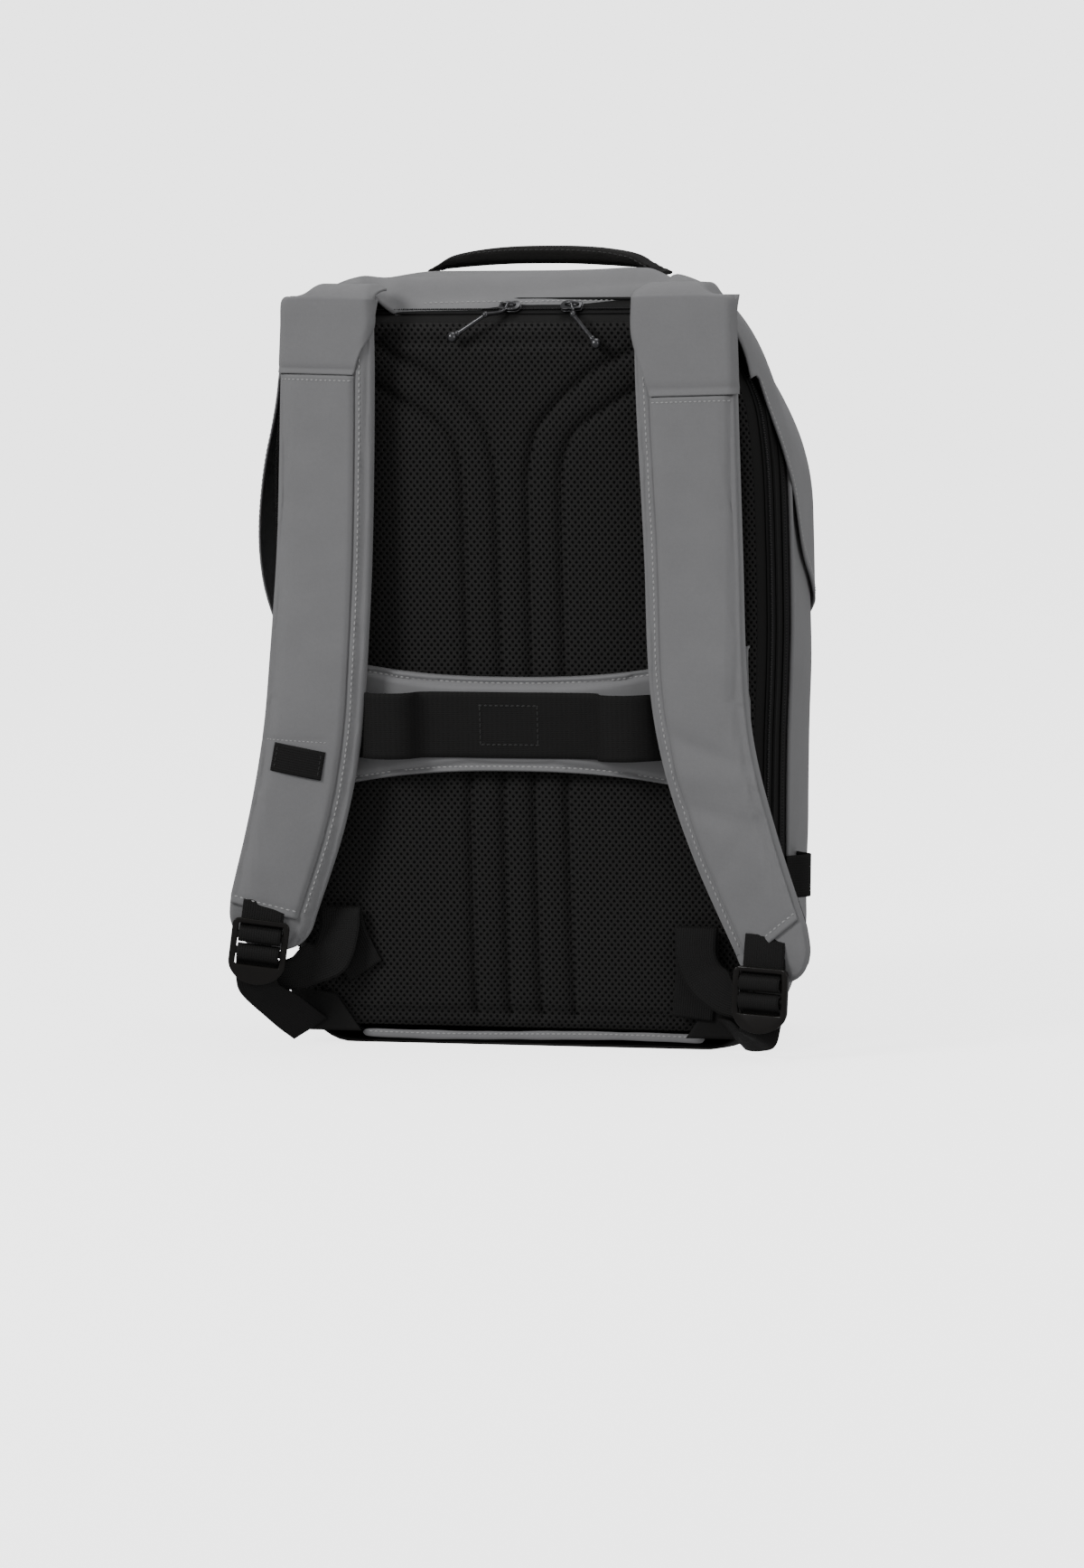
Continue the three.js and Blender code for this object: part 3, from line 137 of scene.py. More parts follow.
right = Vector((math.cos(AZIMUTH), math.sin(AZIMUTH), 0))
level_ahead = Vector((-math.sin(AZIMUTH), math.cos(AZIMUTH), 0))
up = level_ahead * math.sin(ELEVATION) + Vector((0, 0, math.cos(ELEVATION)))
ahead = up.cross(right)
aim = metres(0, 0, 0) + 0.0118 * right + 0.1546 * up

camera_data = bpy.data.cameras.new("camera")
camera_data.sensor_fit = "HORIZONTAL"
camera_data.sensor_width = 36
camera_data.lens = 36 * FOCAL_PIXELS / PIXELS_ACROSS
camera_data.clip_end = 50
camera = bpy.data.objects.new("camera", camera_data)
rolled_right = right * math.cos(ROLL) - up * math.sin(ROLL)
rolled_up = right * math.sin(ROLL) + up * math.cos(ROLL)
turn = Matrix((rolled_right, rolled_up, -ahead)).transposed().to_4x4()
camera.matrix_world = Matrix.Translation(aim - ahead * CAMERA_DISTANCE) @ turn
bpy.context.scene.collection.objects.link(camera)
bpy.context.scene.camera = camera
print("camera at", [round(v, 3) for v in camera.matrix_world.translation])

# %% [markdown]
# Shader maths reads better as Python than as boxes and wires. A Value is one number that changes over
# the surface, and the usual signs on it add the Math nodes. A Paint is one material, and its node
# method makes every other node.


# %% A small language for materials
class Value:
    def __init__(self, paint, socket):
        self.paint, self.socket = paint, socket

    def output(self, name):
        return Value(self.paint, self.socket.node.outputs[name])

    def math(self, operation, *others):
        return self.paint.node("ShaderNodeMath", {"operation": operation}, self, *others)

    def __add__(self, other):
        return self.math("ADD", other)

    def __sub__(self, other):
        return self.math("SUBTRACT", other)

    def __mul__(self, other):
        return self.math("MULTIPLY", other)

    def __truediv__(self, other):
        return self.math("DIVIDE", other)

    def __rsub__(self, other):
        return self.paint.node("ShaderNodeMath", {"operation": "SUBTRACT"}, other, self)

    def __rtruediv__(self, other):
        return self.paint.node("ShaderNodeMath", {"operation": "DIVIDE"}, other, self)

    __radd__ = __add__
    __rmul__ = __mul__

    def below(self, edge, soft):
        """1 where the value is under edge, fading to 0 over soft."""
        ramp = {"interpolation_type": "SMOOTHSTEP"}
        return self.paint.node("ShaderNodeMapRange", ramp, self, edge - soft, edge + soft, 1.0, 0.0)


class Paint:
    def __init__(self, name):
        self.material = bpy.data.materials.new(name)
        self.material.use_nodes = True
        self.tree = self.material.node_tree
        self.tree.nodes.clear()

    def node(self, kind, settings, *inputs, **named):
        made = self.tree.nodes.new(kind)
        for key, value in settings.items():
            setattr(made, key, value)
        for i, value in enumerate(inputs):
            self.feed(made.inputs[i], value)
        for key, value in named.items():
            self.feed(made.inputs[key.replace("_", " ")], value)
        return Value(self, made.outputs[0])

    def feed(self, socket, value):
        if isinstance(value, Value):
            self.tree.links.new(value.socket, socket)
        elif value is not None:
            socket.default_value = value

    def place(self, source="Object"):
        """The three numbers of a place on the piece, in millimetres."""
        coordinates = self.node("ShaderNodeTexCoord", {}).output(source)
        size = 1000 if source == "Object" else 1
        scaled = self.node("ShaderNodeVectorMath", {"operation": "SCALE"}, coordinates)
        scaled.socket.node.inputs["Scale"].default_value = size
        parts = self.node("ShaderNodeSeparateXYZ", {}, scaled)
        return scaled, parts.output("X"), parts.output("Y"), parts.output("Z")

    def clouds(self, where, scale, detail=2.0, roughness=0.5):
        made = self.node("ShaderNodeTexNoise", {}, where, Scale=scale, Detail=detail, Roughness=roughness)
        return made.output("Fac")

    def shade(self, dark, light, share):
        """A colour between two, by a value."""
        made = self.node("ShaderNodeMix", {"data_type": "RGBA"})
        self.feed(made.socket.node.inputs[0], share)
        self.feed(made.socket.node.inputs[6], (*dark, 1))
        self.feed(made.socket.node.inputs[7], (*light, 1))
        return Value(self, made.socket.node.outputs[2])

    def finish(self, colour, roughness, height=None, deep=0.1, metallic=0.0, sheen=0.0, coat=0.0, gloss=0.12):
        """The surface shader. height is in millimetres of relief, times deep."""
        surface = self.node("ShaderNodeBsdfPrincipled", {}, Metallic=metallic)
        shader = surface.socket.node
        self.feed(shader.inputs["Base Color"], colour if isinstance(colour, Value) else (*colour, 1))
        self.feed(shader.inputs["Roughness"], roughness)
        shader.inputs["Sheen Weight"].default_value = sheen
        shader.inputs["Sheen Roughness"].default_value = 0.6
        shader.inputs["Coat Weight"].default_value = coat
        shader.inputs["Specular IOR Level"].default_value = gloss
        if height is not None:
            bump = self.node("ShaderNodeBump", {}, Strength=1.0, Distance=deep / 1000, Height=height)
            self.tree.links.new(bump.output("Normal").socket, shader.inputs["Normal"])
        output = self.tree.nodes.new("ShaderNodeOutputMaterial")
        self.tree.links.new(surface.socket, output.inputs["Surface"])
        return self.material


def repeat(value, pitch):
    """The place inside one repeat of a pattern, 0 to 1."""
    return (value / pitch).math("FRACT")


def wave(value, pitch):
    """A smooth wave along a value, 0 to 1, once in each pitch."""
    return (value * (2 * math.pi / pitch)).math("SINE") * 0.5 + 0.5


print("material language ready")

# %% [markdown]
# The grey shell is a tight coated weave. It has no visible threads from a step away, only a soft
# grain, faint clouds of tone and a little sheen at glancing angles. Two crossed waves make the weave,
# and clouds of three sizes break it up.


# %% Grey coated fabric
def grey_weave(name, tone):
    paint = Paint(name)
    where, x, y, z = paint.place()
    warp = wave(x + y * 0.8, 0.62)
    weft = wave(z + y * 0.45, 0.62)
    grain = paint.clouds(where, 1.6, 3.0, 0.6)
    patches = paint.clouds(where, 0.045, 3.0)
    flecks = paint.clouds(where, 0.5, 2.0)
    tint = grain * 0.3 + patches * 0.34 + flecks * 0.2 + warp * weft * 0.16
    low = [0.8 * value for value in tone]
    high = [1.17 * value for value in tone]
    colour = paint.shade(low, high, tint)
    relief = warp * weft * 0.5 + grain * 0.7 + flecks * 0.4
    return paint.finish(colour, 0.72 + 0.14 * grain, relief, 0.09, sheen=0.08, gloss=0.22)


grey_fabric = grey_weave("grey_fabric", (0.205, 0.205, 0.209))
# The shell's copy of the grey cloth is a little darker than the cover's. That is painted shade, for the shell's
# sides that lie in shadow.
grey_fabric_painted_shade = grey_weave("grey_fabric_shell_painted_shade", (0.2, 0.2, 0.204))
print("grey fabric", grey_fabric.name)

# %% [markdown]
# The back panel is faced with an air mesh: a black knit with small round holes in staggered rows.
# Each hole is a deeper dot filled with painted shade, so the same mask drives the relief and the painted shade in
# the colour. The pattern reads the place on the piece, because the pad's mesh has no map of its own after it is
# puffed up.


# %% Perforated air mesh
HOLE_PITCH, HOLE_ROWS, HOLE_RADIUS = 4.1, 2.35, 0.82


def air_mesh(name):
    paint = Paint(name)
    where, x, y, z = paint.place()
    across = x + y * 0.6
    row = (z / HOLE_ROWS).math("FLOOR")
    shift = row.math("FLOORED_MODULO", 2.0) * 0.5
    a = ((across / HOLE_PITCH + shift).math("FRACT") - 0.5) * HOLE_PITCH
    b = (repeat(z, HOLE_ROWS) - 0.5) * HOLE_ROWS
    distance = (a * a + b * b).math("SQRT")
    hole_and_painted_shade = distance.below(HOLE_RADIUS, 0.2)
    rim = distance.below(1.15, 0.35)
    knit = wave(across, 0.7) * wave(z, 0.7)
    grain = paint.clouds(where, 1.1, 3.0)
    light = paint.shade((0.013, 0.0127, 0.0125), (0.036, 0.035, 0.0342), grain * 0.6 + knit * 0.4)
    mixed = paint.node("ShaderNodeMix", {"data_type": "RGBA"})
    inputs = mixed.socket.node.inputs
    paint.feed(inputs[0], hole_and_painted_shade)
    paint.feed(inputs[6], light)
    # Near-black painted shade inside each hole.
    paint.feed(inputs[7], (0.0006, 0.0006, 0.0006, 1))
    colour = Value(paint, mixed.socket.node.outputs[2])
    relief = knit * 0.25 + grain * 0.2 - hole_and_painted_shade * 1.6 - rim * 0.5
    return paint.finish(colour, 0.82, relief, 0.4, sheen=0.02, gloss=0.08)


black_mesh = air_mesh("black_mesh")
print("air mesh", black_mesh.name)

# %% [markdown]
# Webbing, elastic, zip tape and the flat black nylon all have their own ribs. They are strips, so
# their pieces carry a map in millimetres: across the strip and along it.


# %% Black webbing, elastic, tape and nylon
def ribbed(name, tone, across_pitch, along_pitch, deep, roughness, sheen=0.0):
    paint = Paint(name)
    where, u, v, w = paint.place("UV")
    place, x, y, z = paint.place()
    rows = wave(u, across_pitch)
    picks = wave(v + rows * along_pitch * 0.5, along_pitch)
    fuzz = paint.clouds(place, 1.3, 3.0)
    patches = paint.clouds(place, 0.06, 2.0)
    tint = rows * 0.25 + picks * 0.2 + fuzz * 0.35 + patches * 0.2
    colour = paint.shade([0.55 * value for value in tone], [1.45 * value for value in tone], tint)
    relief = rows * 0.6 + picks * 0.4 + fuzz * 0.25
    return paint.finish(colour, roughness + 0.1 * fuzz, relief, deep, sheen=sheen)


black_webbing = ribbed("black_webbing", (0.0125, 0.0122, 0.012), 1.45, 1.1, 0.3, 0.62)
black_elastic = ribbed("black_elastic", (0.0135, 0.0133, 0.013), 0.95, 3.1, 0.22, 0.74)
zip_tape = ribbed("zip_tape", (0.009, 0.009, 0.009), 0.8, 0.8, 0.1, 0.6)
black_nylon = ribbed("black_nylon", (0.0125, 0.0123, 0.012), 0.7, 0.7, 0.08, 0.72)
black_bound = ribbed("black_binding", (0.01, 0.01, 0.01), 1.1, 0.9, 0.2, 0.55)
handle_nylon = ribbed("handle_nylon", (0.0095, 0.009, 0.0084), 1.0, 1.0, 0.22, 0.6)
print("ribbed finishes", black_webbing.name, black_elastic.name, zip_tape.name)

# %% [markdown]
# The buckles are moulded plastic with a fine spark-eroded grain and broad patches of wear that change its tone and
# gloss.
# The sliders and pulls are dark plated metal. The thread is a pale twisted yarn.


# %% Plastic, metal, zip coil and thread
def moulded(name, dark, light, roughness, grain_scale, deep):
    paint = Paint(name)
    where, x, y, z = paint.place()
    grain = paint.clouds(where, grain_scale, 3.0)
    wear = paint.clouds(where, 0.12, 4.0)
    colour = paint.shade(dark, light, grain * 0.5 + wear * 0.5)
    return paint.finish(colour, roughness + 0.16 * wear, grain, deep, coat=0.15)


def plated(name):
    paint = Paint(name)
    where, x, y, z = paint.place()
    smears = paint.clouds(where, 0.3, 4.0)
    fine = paint.clouds(where, 3.0, 2.0)
    colour = paint.shade((0.045, 0.045, 0.047), (0.12, 0.12, 0.125), smears)
    return paint.finish(colour, 0.2 + 0.22 * smears, fine, 0.02, metallic=0.9)


def yarn(name, tone):
    paint = Paint(name)
    where, x, y, z = paint.place()
    twist = wave(x + y + z, 0.5)
    fuzz = paint.clouds(where, 2.2, 2.0)
    colour = paint.shade([0.7 * value for value in tone], [1.25 * value for value in tone], twist * 0.5 + fuzz * 0.5)
    return paint.finish(colour, 0.7, twist, 0.06, sheen=0.2)


buckle_plastic = moulded("buckle_plastic", (0.006, 0.0056, 0.0052), (0.014, 0.0125, 0.0115), 0.26, 2.4, 0.03)
zip_coil = moulded("zip_coil", (0.012, 0.012, 0.012), (0.034, 0.034, 0.034), 0.3, 1.5, 0.03)
gunmetal = plated("gunmetal")
pale_thread = yarn("pale_thread", (0.42, 0.42, 0.42))
dark_thread = yarn("dark_thread", (0.02, 0.02, 0.02))
print("hard finishes", buckle_plastic.name, zip_coil.name, gunmetal.name)

# %% [markdown]
# Almost every piece starts as a flat grid, as cloth does, and is then laid where it goes. lay_cloth
# makes the grid with its map in millimetres and moves each vertex by a rule of two numbers, u across
# and v along, both from 0 to 1. A tube is the same grid with its first and last columns merged.


# %% Helpers that make pieces
def lay_cloth(columns, rows, place, size=(1, 1), tube=False):
    bm = bmesh.new()
    bmesh.ops.create_grid(bm, x_segments=columns, y_segments=rows, size=0.5)
    chart = bm.loops.layers.uv.new("map")
    for face in bm.faces:
        for loop in face.loops:
            loop[chart].uv = ((loop.vert.co.x + 0.5) * size[0], (loop.vert.co.y + 0.5) * size[1])
    for vert in bm.verts:
        vert.co = place(vert.co.x + 0.5, vert.co.y + 0.5)
    if tube:
        bmesh.ops.remove_doubles(bm, verts=bm.verts, dist=2e-6)
    return bm


def close_ends(bm):
    """Caps the open ends of a tube and turns every face out."""
    bmesh.ops.holes_fill(bm, edges=[edge for edge in bm.edges if edge.is_boundary], sides=0)
    bmesh.ops.recalc_face_normals(bm, faces=bm.faces)
    return bm


def join(bm, other):
    """Adds one bmesh to another."""
    spare = bpy.data.meshes.new("spare")
    other.to_mesh(spare)
    other.free()
    bm.from_mesh(spare)
    bpy.data.meshes.remove(spare)
    return bm


def make_piece(name, bm, material, stands_for=()):
    """A finished piece from a bmesh, riding on the bag, in place of the nodes that it stands for."""
    mesh = bpy.data.meshes.new(name)
    bm.to_mesh(mesh)
    bm.free()
    mesh.polygons.foreach_set("use_smooth", [True] * len(mesh.polygons))
    piece = bpy.data.objects.new(name, mesh)
    bpy.context.scene.collection.objects.link(piece)
    mesh.materials.append(material)
    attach(piece, "root")
    if stands_for:
        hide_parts(*stands_for)
    print(name, len(mesh.polygons), "faces")
    return piece


def thicken(piece, wall, offset=1.0):
    """Gives a sheet its wall in millimetres: outwards at 1, inwards at -1."""
    solid = piece.modifiers.new("wall", "SOLIDIFY")
    solid.thickness = wall / 1000
    solid.offset = offset
    solid.use_even_offset = False
    return piece


def ripple(point, size, seed=0.0):
    """A calm wandering number between about -1 and 1, for folds and slack."""
    return noise.noise(point * (1000 / size) + Vector((seed, 7 * seed, 3 * seed)))


print("helpers ready")

# %% [markdown]
# Sewn lines are made of separate stitches, each a small rounded body that lies in the cloth. They are
# set along a line at an even pitch, so a seam follows every bend of its piece.


# %% Stitches along a line
def stitch_line(bm, points, pitch=3.3, length=2.3, thick=0.42):
    """points are (place, outward) pairs in the frame, along the seam."""
    walked = 0.0
    due = pitch * 0.5
    for (start, out_a), (end, out_b) in zip(points, points[1:]):
        span = (end - start).length * 1000
        while span > 0 and walked + span >= due:
            share = (due - walked) / span
            middle = start.lerp(end, share)
            outward = out_a.lerp(out_b, share).normalized()
            along = (end - start).normalized()
            side = outward.cross(along).normalized()
            turn = Matrix((side, along, outward)).transposed().to_4x4()
            size = Matrix.Diagonal((thick, length / 2, thick * 0.75, 1)) @ Matrix.Scale(0.001, 4)
            size[3][3] = 1
            place = Matrix.Translation(middle + outward * 0.00012) @ turn @ size
            bmesh.ops.create_uvsphere(bm, u_segments=6, v_segments=4, radius=1, matrix=place)
            due += pitch
        walked += span


def sew(name, lines, material=pale_thread, slot="grey_fabric", **spacing):
    bm = bmesh.new()
    for points in lines:
        stitch_line(bm, points, **spacing)
    return make_piece(name, bm, material)


print("thread", pale_thread.name)

# %% [markdown]
# The bag's own form is a row of sections from the back seam to the front face. Each is an arch with
# round corners. The drawing's tables hold shares of the main sizes, and a smooth curve runs through
# their rows, so the cloth has no corners where two rows meet.

# %% The bag's form
# depth, half width, top, top radius, foot radius, cover's top, cover's radius
SECTIONS = flowing([
    (0, 0.95, 0.945, 0.35, 0.2, 0.988, 0.34),
    (0.064, 0.975, 0.956, 0.4, 0.2, 0.994, 0.34),
    (0.112, 0.984, 0.966, 0.43, 0.2, 0.998, 0.36),
    (0.2, 0.996, 0.985, 0.49, 0.22, 1, 0.45),
    (0.304, 1, 1, 0.6, 0.25, 1, 0.6),
    (0.48, 0.986, 0.997, 0.7, 0.3, 0.997, 0.7),
    (0.64, 0.966, 0.99, 0.75, 0.35, 0.99, 0.75),
    (0.8, 0.942, 0.98, 0.8, 0.41, 0.98, 0.8),
    (0.92, 0.914, 0.964, 0.82, 0.45, 0.964, 0.82),
    (1, 0.86, 0.938, 0.78, 0.46, 0.938, 0.78),
])
# height, width
WAIST = flowing([
    (0, 0.95), (0.1, 0.957), (0.27, 0.963), (0.4, 0.976), (0.48, 0.99), (0.56, 1), (0.72, 1),
    (0.78, 0.992), (0.88, 0.958), (0.98, 0.935), (1.02, 0.93),
])
# depth, height of the left wing's free edge, height of the right one's
WING_EDGE = flowing([
    (0.016, 0.94, 0.94), (0.08, 0.861, 0.861), (0.224, 0.7, 0.766), (0.336, 0.58, 0.711),
    (0.48, 0.49, 0.642), (0.704, 0.46, 0.6), (0.92, 0.45, 0.56), (1, 0.45, 0.535),
])


@lru_cache(maxsize=None)
def section(depth):
    half, top, top_radius, foot_radius, cover_top, cover_radius = SECTIONS(depth / DEPTH)
    top_radius, foot_radius, cover_radius = (r * HALF_WIDTH for r in (top_radius, foot_radius, cover_radius))
    return half * HALF_WIDTH, top * HEIGHT, top_radius, foot_radius, cover_top * HEIGHT, cover_radius


def drawn_in(x, z):
    return x * WAIST(z / HEIGHT)[0]


def walk(share, stretches):
    """Which of some stretches a share of the whole way lies in, and the share of that stretch."""
    way = clamp(share) * sum(stretches)
    for i, stretch in enumerate(stretches[:-1]):
        if way <= stretch:
            return i, way / stretch
        way -= stretch
    return len(stretches) - 1, clamp(way / stretches[-1])


QUARTER = math.pi / 2


def ring(share, depth, grow=0.0):
    """A point of a whole section, once round from the middle of the base by the left side."""
    half, top, radius, foot = section(depth)[:4]
    half, top, radius, rim = half + grow, top + grow, radius + grow, foot + grow
    shoulder, flat = top - radius, half - rim
    up = shoulder - foot
    around = (flat, QUARTER * rim, up, QUARTER * radius, 2 * (half - radius))
    i, t = walk(share, around + around[3::-1])
    sin, cos = math.sin(QUARTER * t), math.cos(QUARTER * t)
    x, z = (
        (-flat * t, -grow),
        (-flat - rim * sin, foot - rim * cos),
        (-half, mix(foot, shoulder, t)),
        (-half + radius * (1 - cos), shoulder + radius * sin),
        (mix(radius - half, half - radius, t), top),
        (half - radius * (1 - sin), shoulder + radius * cos),
        (half, mix(shoulder, foot, t)),
        (flat + rim * cos, foot - rim * sin),
        (flat * (1 - t), -grow),
    )[i]
    return drawn_in(x, z), z


def arch(share, half, top, radius, left_foot, right_foot):
    """A point of an arch, from its left foot over the top to its right foot."""
    shoulder = top - radius
    left, right = max(shoulder - left_foot, 0.5), max(shoulder - right_foot, 0.5)
    i, t = walk(share, (left, QUARTER * radius, 2 * (half - radius), QUARTER * radius, right))
    sin, cos = math.sin(QUARTER * t), math.cos(QUARTER * t)
    x, z = (
        (-half, shoulder - left * (1 - t)),
        (-half + radius * (1 - cos), shoulder + radius * sin),
        (mix(radius - half, half - radius, t), top),
        (half - radius * (1 - sin), shoulder + radius * cos),
        (half, shoulder - right * t),
    )[i]
    return drawn_in(x, z), z


BAG_MIDDLE = Vector((0, 0, 0.22))


def surface_at(place, u, v, step=0.004):
    """A place on a surface and the surface's outward direction there, away from the bag's middle."""
    here = place(u, v)
    low, high = clamp(u, step, 1 - step), clamp(v, step, 1 - step)
    across = place(low + step, v) - place(low - step, v)
    along = place(u, high + step) - place(u, high - step)
    outward = across.cross(along).normalized()
    if outward.dot(here - BAG_MIDDLE) < 0:
        outward = -outward
    return here, outward


def turn_out(bm):
    """Turns a surface's faces away from the bag's middle."""
    bmesh.ops.recalc_face_normals(bm, faces=bm.faces)
    facing = 0.0
    for face in bm.faces:
        facing += face.calc_area() * face.normal.dot(face.calc_center_median() - BAG_MIDDLE)
    if facing < 0:
        bmesh.ops.reverse_faces(bm, faces=bm.faces)
    return bm


print("section at the widest place", [round(v, 1) for v in section(0.304 * DEPTH)])

# %% [markdown]
# The gusset is a ring of black nylon between the back panel and the grey shell. It swells a little
# between its seams. A zip opens the laptop room next to the back panel, and a second one, with its
# coil on the inside, opens the main room.

# %% Gusset
MAIN_ZIP, FRONT_ZIP, ZIP_WIDTH, ZIP_END = 6.6, 25.4, 6.4, 52
COIL_LENGTH = 1035


def gusset_place(u, v, lift=0.0):
    depth = v * (GUSSET - 0.4)
    swell = 0.35 * math.sin(math.pi * clamp((depth - 14) / 9)) - 0.3 * math.exp(-((depth - 1) / 1.2) ** 2)
    x, z = ring(u, depth, swell + lift)
    return metres(x, depth, max(z, 0.0))


gusset = make_piece(
    "gusset_cloth",
    turn_out(lay_cloth(240, 26, gusset_place, size=(1500, 38), tube=True)),
    black_nylon,
    ["gusset"],
)
thicken(gusset, 1.4, -1)

# %% [markdown]
# A zip is a tape, a coil and sometimes a slider. The coil is a row of small cross ribs, one for each
# tooth. They are separate bodies set along the arch, which is how the real coil catches the light.


# %% Zips
def band_place(depth, lift):
    """A rule for a line at a depth, up one side of the bag, over the top and down the other."""
    half, top, radius = section(depth)[:3]
    return lambda u: arch(u, half + lift, top + lift, radius + lift, ZIP_END, ZIP_END)


def band(name, start, width, lift, columns, rows, profile, material, stands_for=()):
    def place(u, v):
        depth = start + v * width
        x, z = band_place(depth, lift + profile(v))(u)
        return metres(x, depth, z)

    piece = make_piece(name, turn_out(lay_cloth(columns, rows, place, (1040, width))), material, stands_for)
    return thicken(piece, 0.6, -1)


def on_line(line, u):
    """Where a line over the arch is at u, [x, z], and the directions along it and outwards there."""
    x, z = line(u)
    ahead_x, ahead_z = line(min(u + 0.001, 1))
    behind_x, behind_z = line(max(u - 0.001, 0))
    along = Vector((ahead_x - behind_x, 0, ahead_z - behind_z)).normalized()
    return x, z, along, along.cross(Vector((0, 1, 0)))


def coil(name, depth, lift, pitch, half_length, thick, material):
    """Cross ribs along a line of the gusset."""
    bm = bmesh.new()
    line = band_place(depth, lift)
    count = round(COIL_LENGTH / pitch)
    for i in range(count):
        x, z, along, outward = on_line(line, (i + 0.5) / count)
        shift = half_length * (0.16 if i % 2 else -0.16)
        turn = Matrix((Vector((0, 1, 0)), along, outward)).transposed().to_4x4()
        size = Matrix.Diagonal((half_length / 1000, thick / 1000, thick * 0.9 / 1000, 1))
        place = Matrix.Translation(metres(x, depth + shift, z)) @ turn @ size
        bmesh.ops.create_uvsphere(bm, u_segments=6, v_segments=4, radius=1, matrix=place)
    return make_piece(name, bm, material)


def tape_profile(v):
    return 0.5 - 0.45 * math.exp(-((v - 0.5) / 0.09) ** 2)


def reverse_profile(v):
    ridges = sum(math.exp(-((v - middle) / 0.13) ** 2) for middle in (0.33, 0.67))
    return 0.5 + 0.22 * ridges - 0.35 * math.exp(-((v - 0.5) / 0.05) ** 2)


band("main_zip_tape", MAIN_ZIP, ZIP_WIDTH, 0.5, 220, 14, tape_profile, zip_tape, ["main_zip"])
coil("main_zip_coil", MAIN_ZIP + ZIP_WIDTH / 2, 1.3, 1.45, 1.75, 0.56, zip_coil)
band("front_zip_tape", FRONT_ZIP, ZIP_WIDTH, 0.5, 220, 16, reverse_profile, zip_tape, ["front_zip"])
coil("front_zip_lines", FRONT_ZIP + ZIP_WIDTH / 2, 0.95, 1.9, 1.1, 0.34, zip_coil)


# %% [markdown]
# Two cords of piping finish the gusset: a thin black one behind the first zip and the grey one where
# the grey shell begins. Each is a closed tube, drawn by laying a narrow grid round a circle.


# %% Piping
def tube_on_arch(name, depth, lift, radius, material, stands_for=()):
    line = band_place(depth, lift)

    def place(u, v):
        x, z, along, outward = on_line(line, v)
        angle = 2 * math.pi * u
        around = Vector((0, math.cos(angle), 0)) + outward * math.sin(angle)
        return metres(x, depth, z) + around * (radius / 1000)

    bm = close_ends(lay_cloth(10, 320, place, (2 * math.pi * radius, 1040), tube=True))
    return make_piece(name, bm, material, stands_for)


tube_on_arch("black_piping", 17.2, 0.6, 1.15, black_bound)
tube_on_arch("grey_piping", 38, 1.3, 1.45, grey_fabric, ["side_piping"])
print("zips and piping laid")

# %% [markdown]
# The grey shell is a soft tray. It runs back from the piping, turns over a rounded edge and closes
# across the front. Its cloth is slack between the seams, so a calm ripple moves it by up to a
# millimetre, more in the middle of the front than near the seams.

# %% Front shell
def front_depth(x, z):
    across = clamp(1 - (x / HALF_WIDTH) ** 4)
    rise = clamp(1 - ((2 * z) / HEIGHT - 1) ** 4)
    return DEPTH + CROWN * across * rise


def shell_place(u, v):
    turn_over = 0.5
    if v <= turn_over:
        depth = mix(GUSSET + 0.3, DEPTH, (v / turn_over) ** 0.85)
        x, z = ring(u, depth)
        slack = math.sin(math.pi * v / turn_over)
        y = depth
    else:
        share = 1 - (v - turn_over) / (1 - turn_over)
        share = max(share, 0.012)
        rim_x, rim_z = ring(u, DEPTH)
        x = rim_x * share
        z = HEIGHT / 2 + (rim_z - HEIGHT / 2) * share
        y = front_depth(x, z)
        slack = 1 - share**3
    point = metres(x, y, z)
    wander = ripple(point, 95, 1.7) * 1.3 + ripple(point, 38, 4.1) * 0.4
    if v <= turn_over:
        low = ease(75, 130, z) * ease(270, 215, z) * (1 if x > 0 else 0)
        inward = 0.001 * slack * (2.6 * low - (0.5 + 0.5 * wander) * (1 - 0.6 * low))
        resting = ease(0, 26, z)
        return point + Vector((inward * math.copysign(1, x) * resting, 0, 0))
    return point + Vector((0, -0.001 * slack * (0.9 + wander), 0))


# The shell wears the darker copy of the grey cloth, which is painted shade.
shell = make_piece(
    "shell_cloth",
    turn_out(lay_cloth(240, 90, shell_place, size=(1400, 330), tube=True)),
    grey_fabric_painted_shade,
    ["front_shell"],
)
thicken(shell, 1.6, -1)

# %% [markdown]
# The cover is one wide piece of the same cloth over the top and front. Its side wings are free at
# their slanted edges. Each edge is folded under and stitched, so a strip there is thicker and the
# stitches sink into it.

# %% Front cover with its wings
WALL = 1.3
HEM_HALF = 0.9 * section(DEPTH)[0]


def hump(value):
    return max(1 - value * value, 0) ** 2


def cover_gap(depth):
    return mix(COVER_REST, COVER_LIFT, 1 - clamp((depth - GUSSET - 3) / GUSSET))


def cover_depth(depth, x):
    middle = 1 - ease(0.53 * HALF_WIDTH, 0.63 * HALF_WIDTH, abs(x))
    edge = mix(0.045, 0.105, clamp(x / HALF_WIDTH + 0.5)) * DEPTH
    pushed = mix(edge, GUSSET, clamp(depth / GUSSET))
    return mix(depth, pushed, middle) if depth < GUSSET else depth


def cover_row(u, depth):
    """A place on the cover where it lies over the sides and the top, [x, depth, z]."""
    left, right = WING_EDGE(depth / DEPTH)
    gap = cover_gap(depth)
    half, *_, cover_top, cover_radius = section(depth)
    x, z = arch(u, half + gap, cover_top + gap, cover_radius + gap, left * HEIGHT, right * HEIGHT)
    own = cover_depth(depth, x)
    level = section(own)[1] + cover_gap(own) - (cover_top + gap)
    middle = (own - depth) / max(cover_depth(depth, 0) - depth, 1) if own > depth else 0
    z += level * clamp(middle)
    side = clamp(-x / HALF_WIDTH) ** 6
    lifted = hump((z - 290) / 120) * hump((own - 0.42 * DEPTH) / (0.56 * DEPTH))
    return x - 18 * side * lifted, own, z


COVER_START, COVER_TURN = 2.4, 0.48


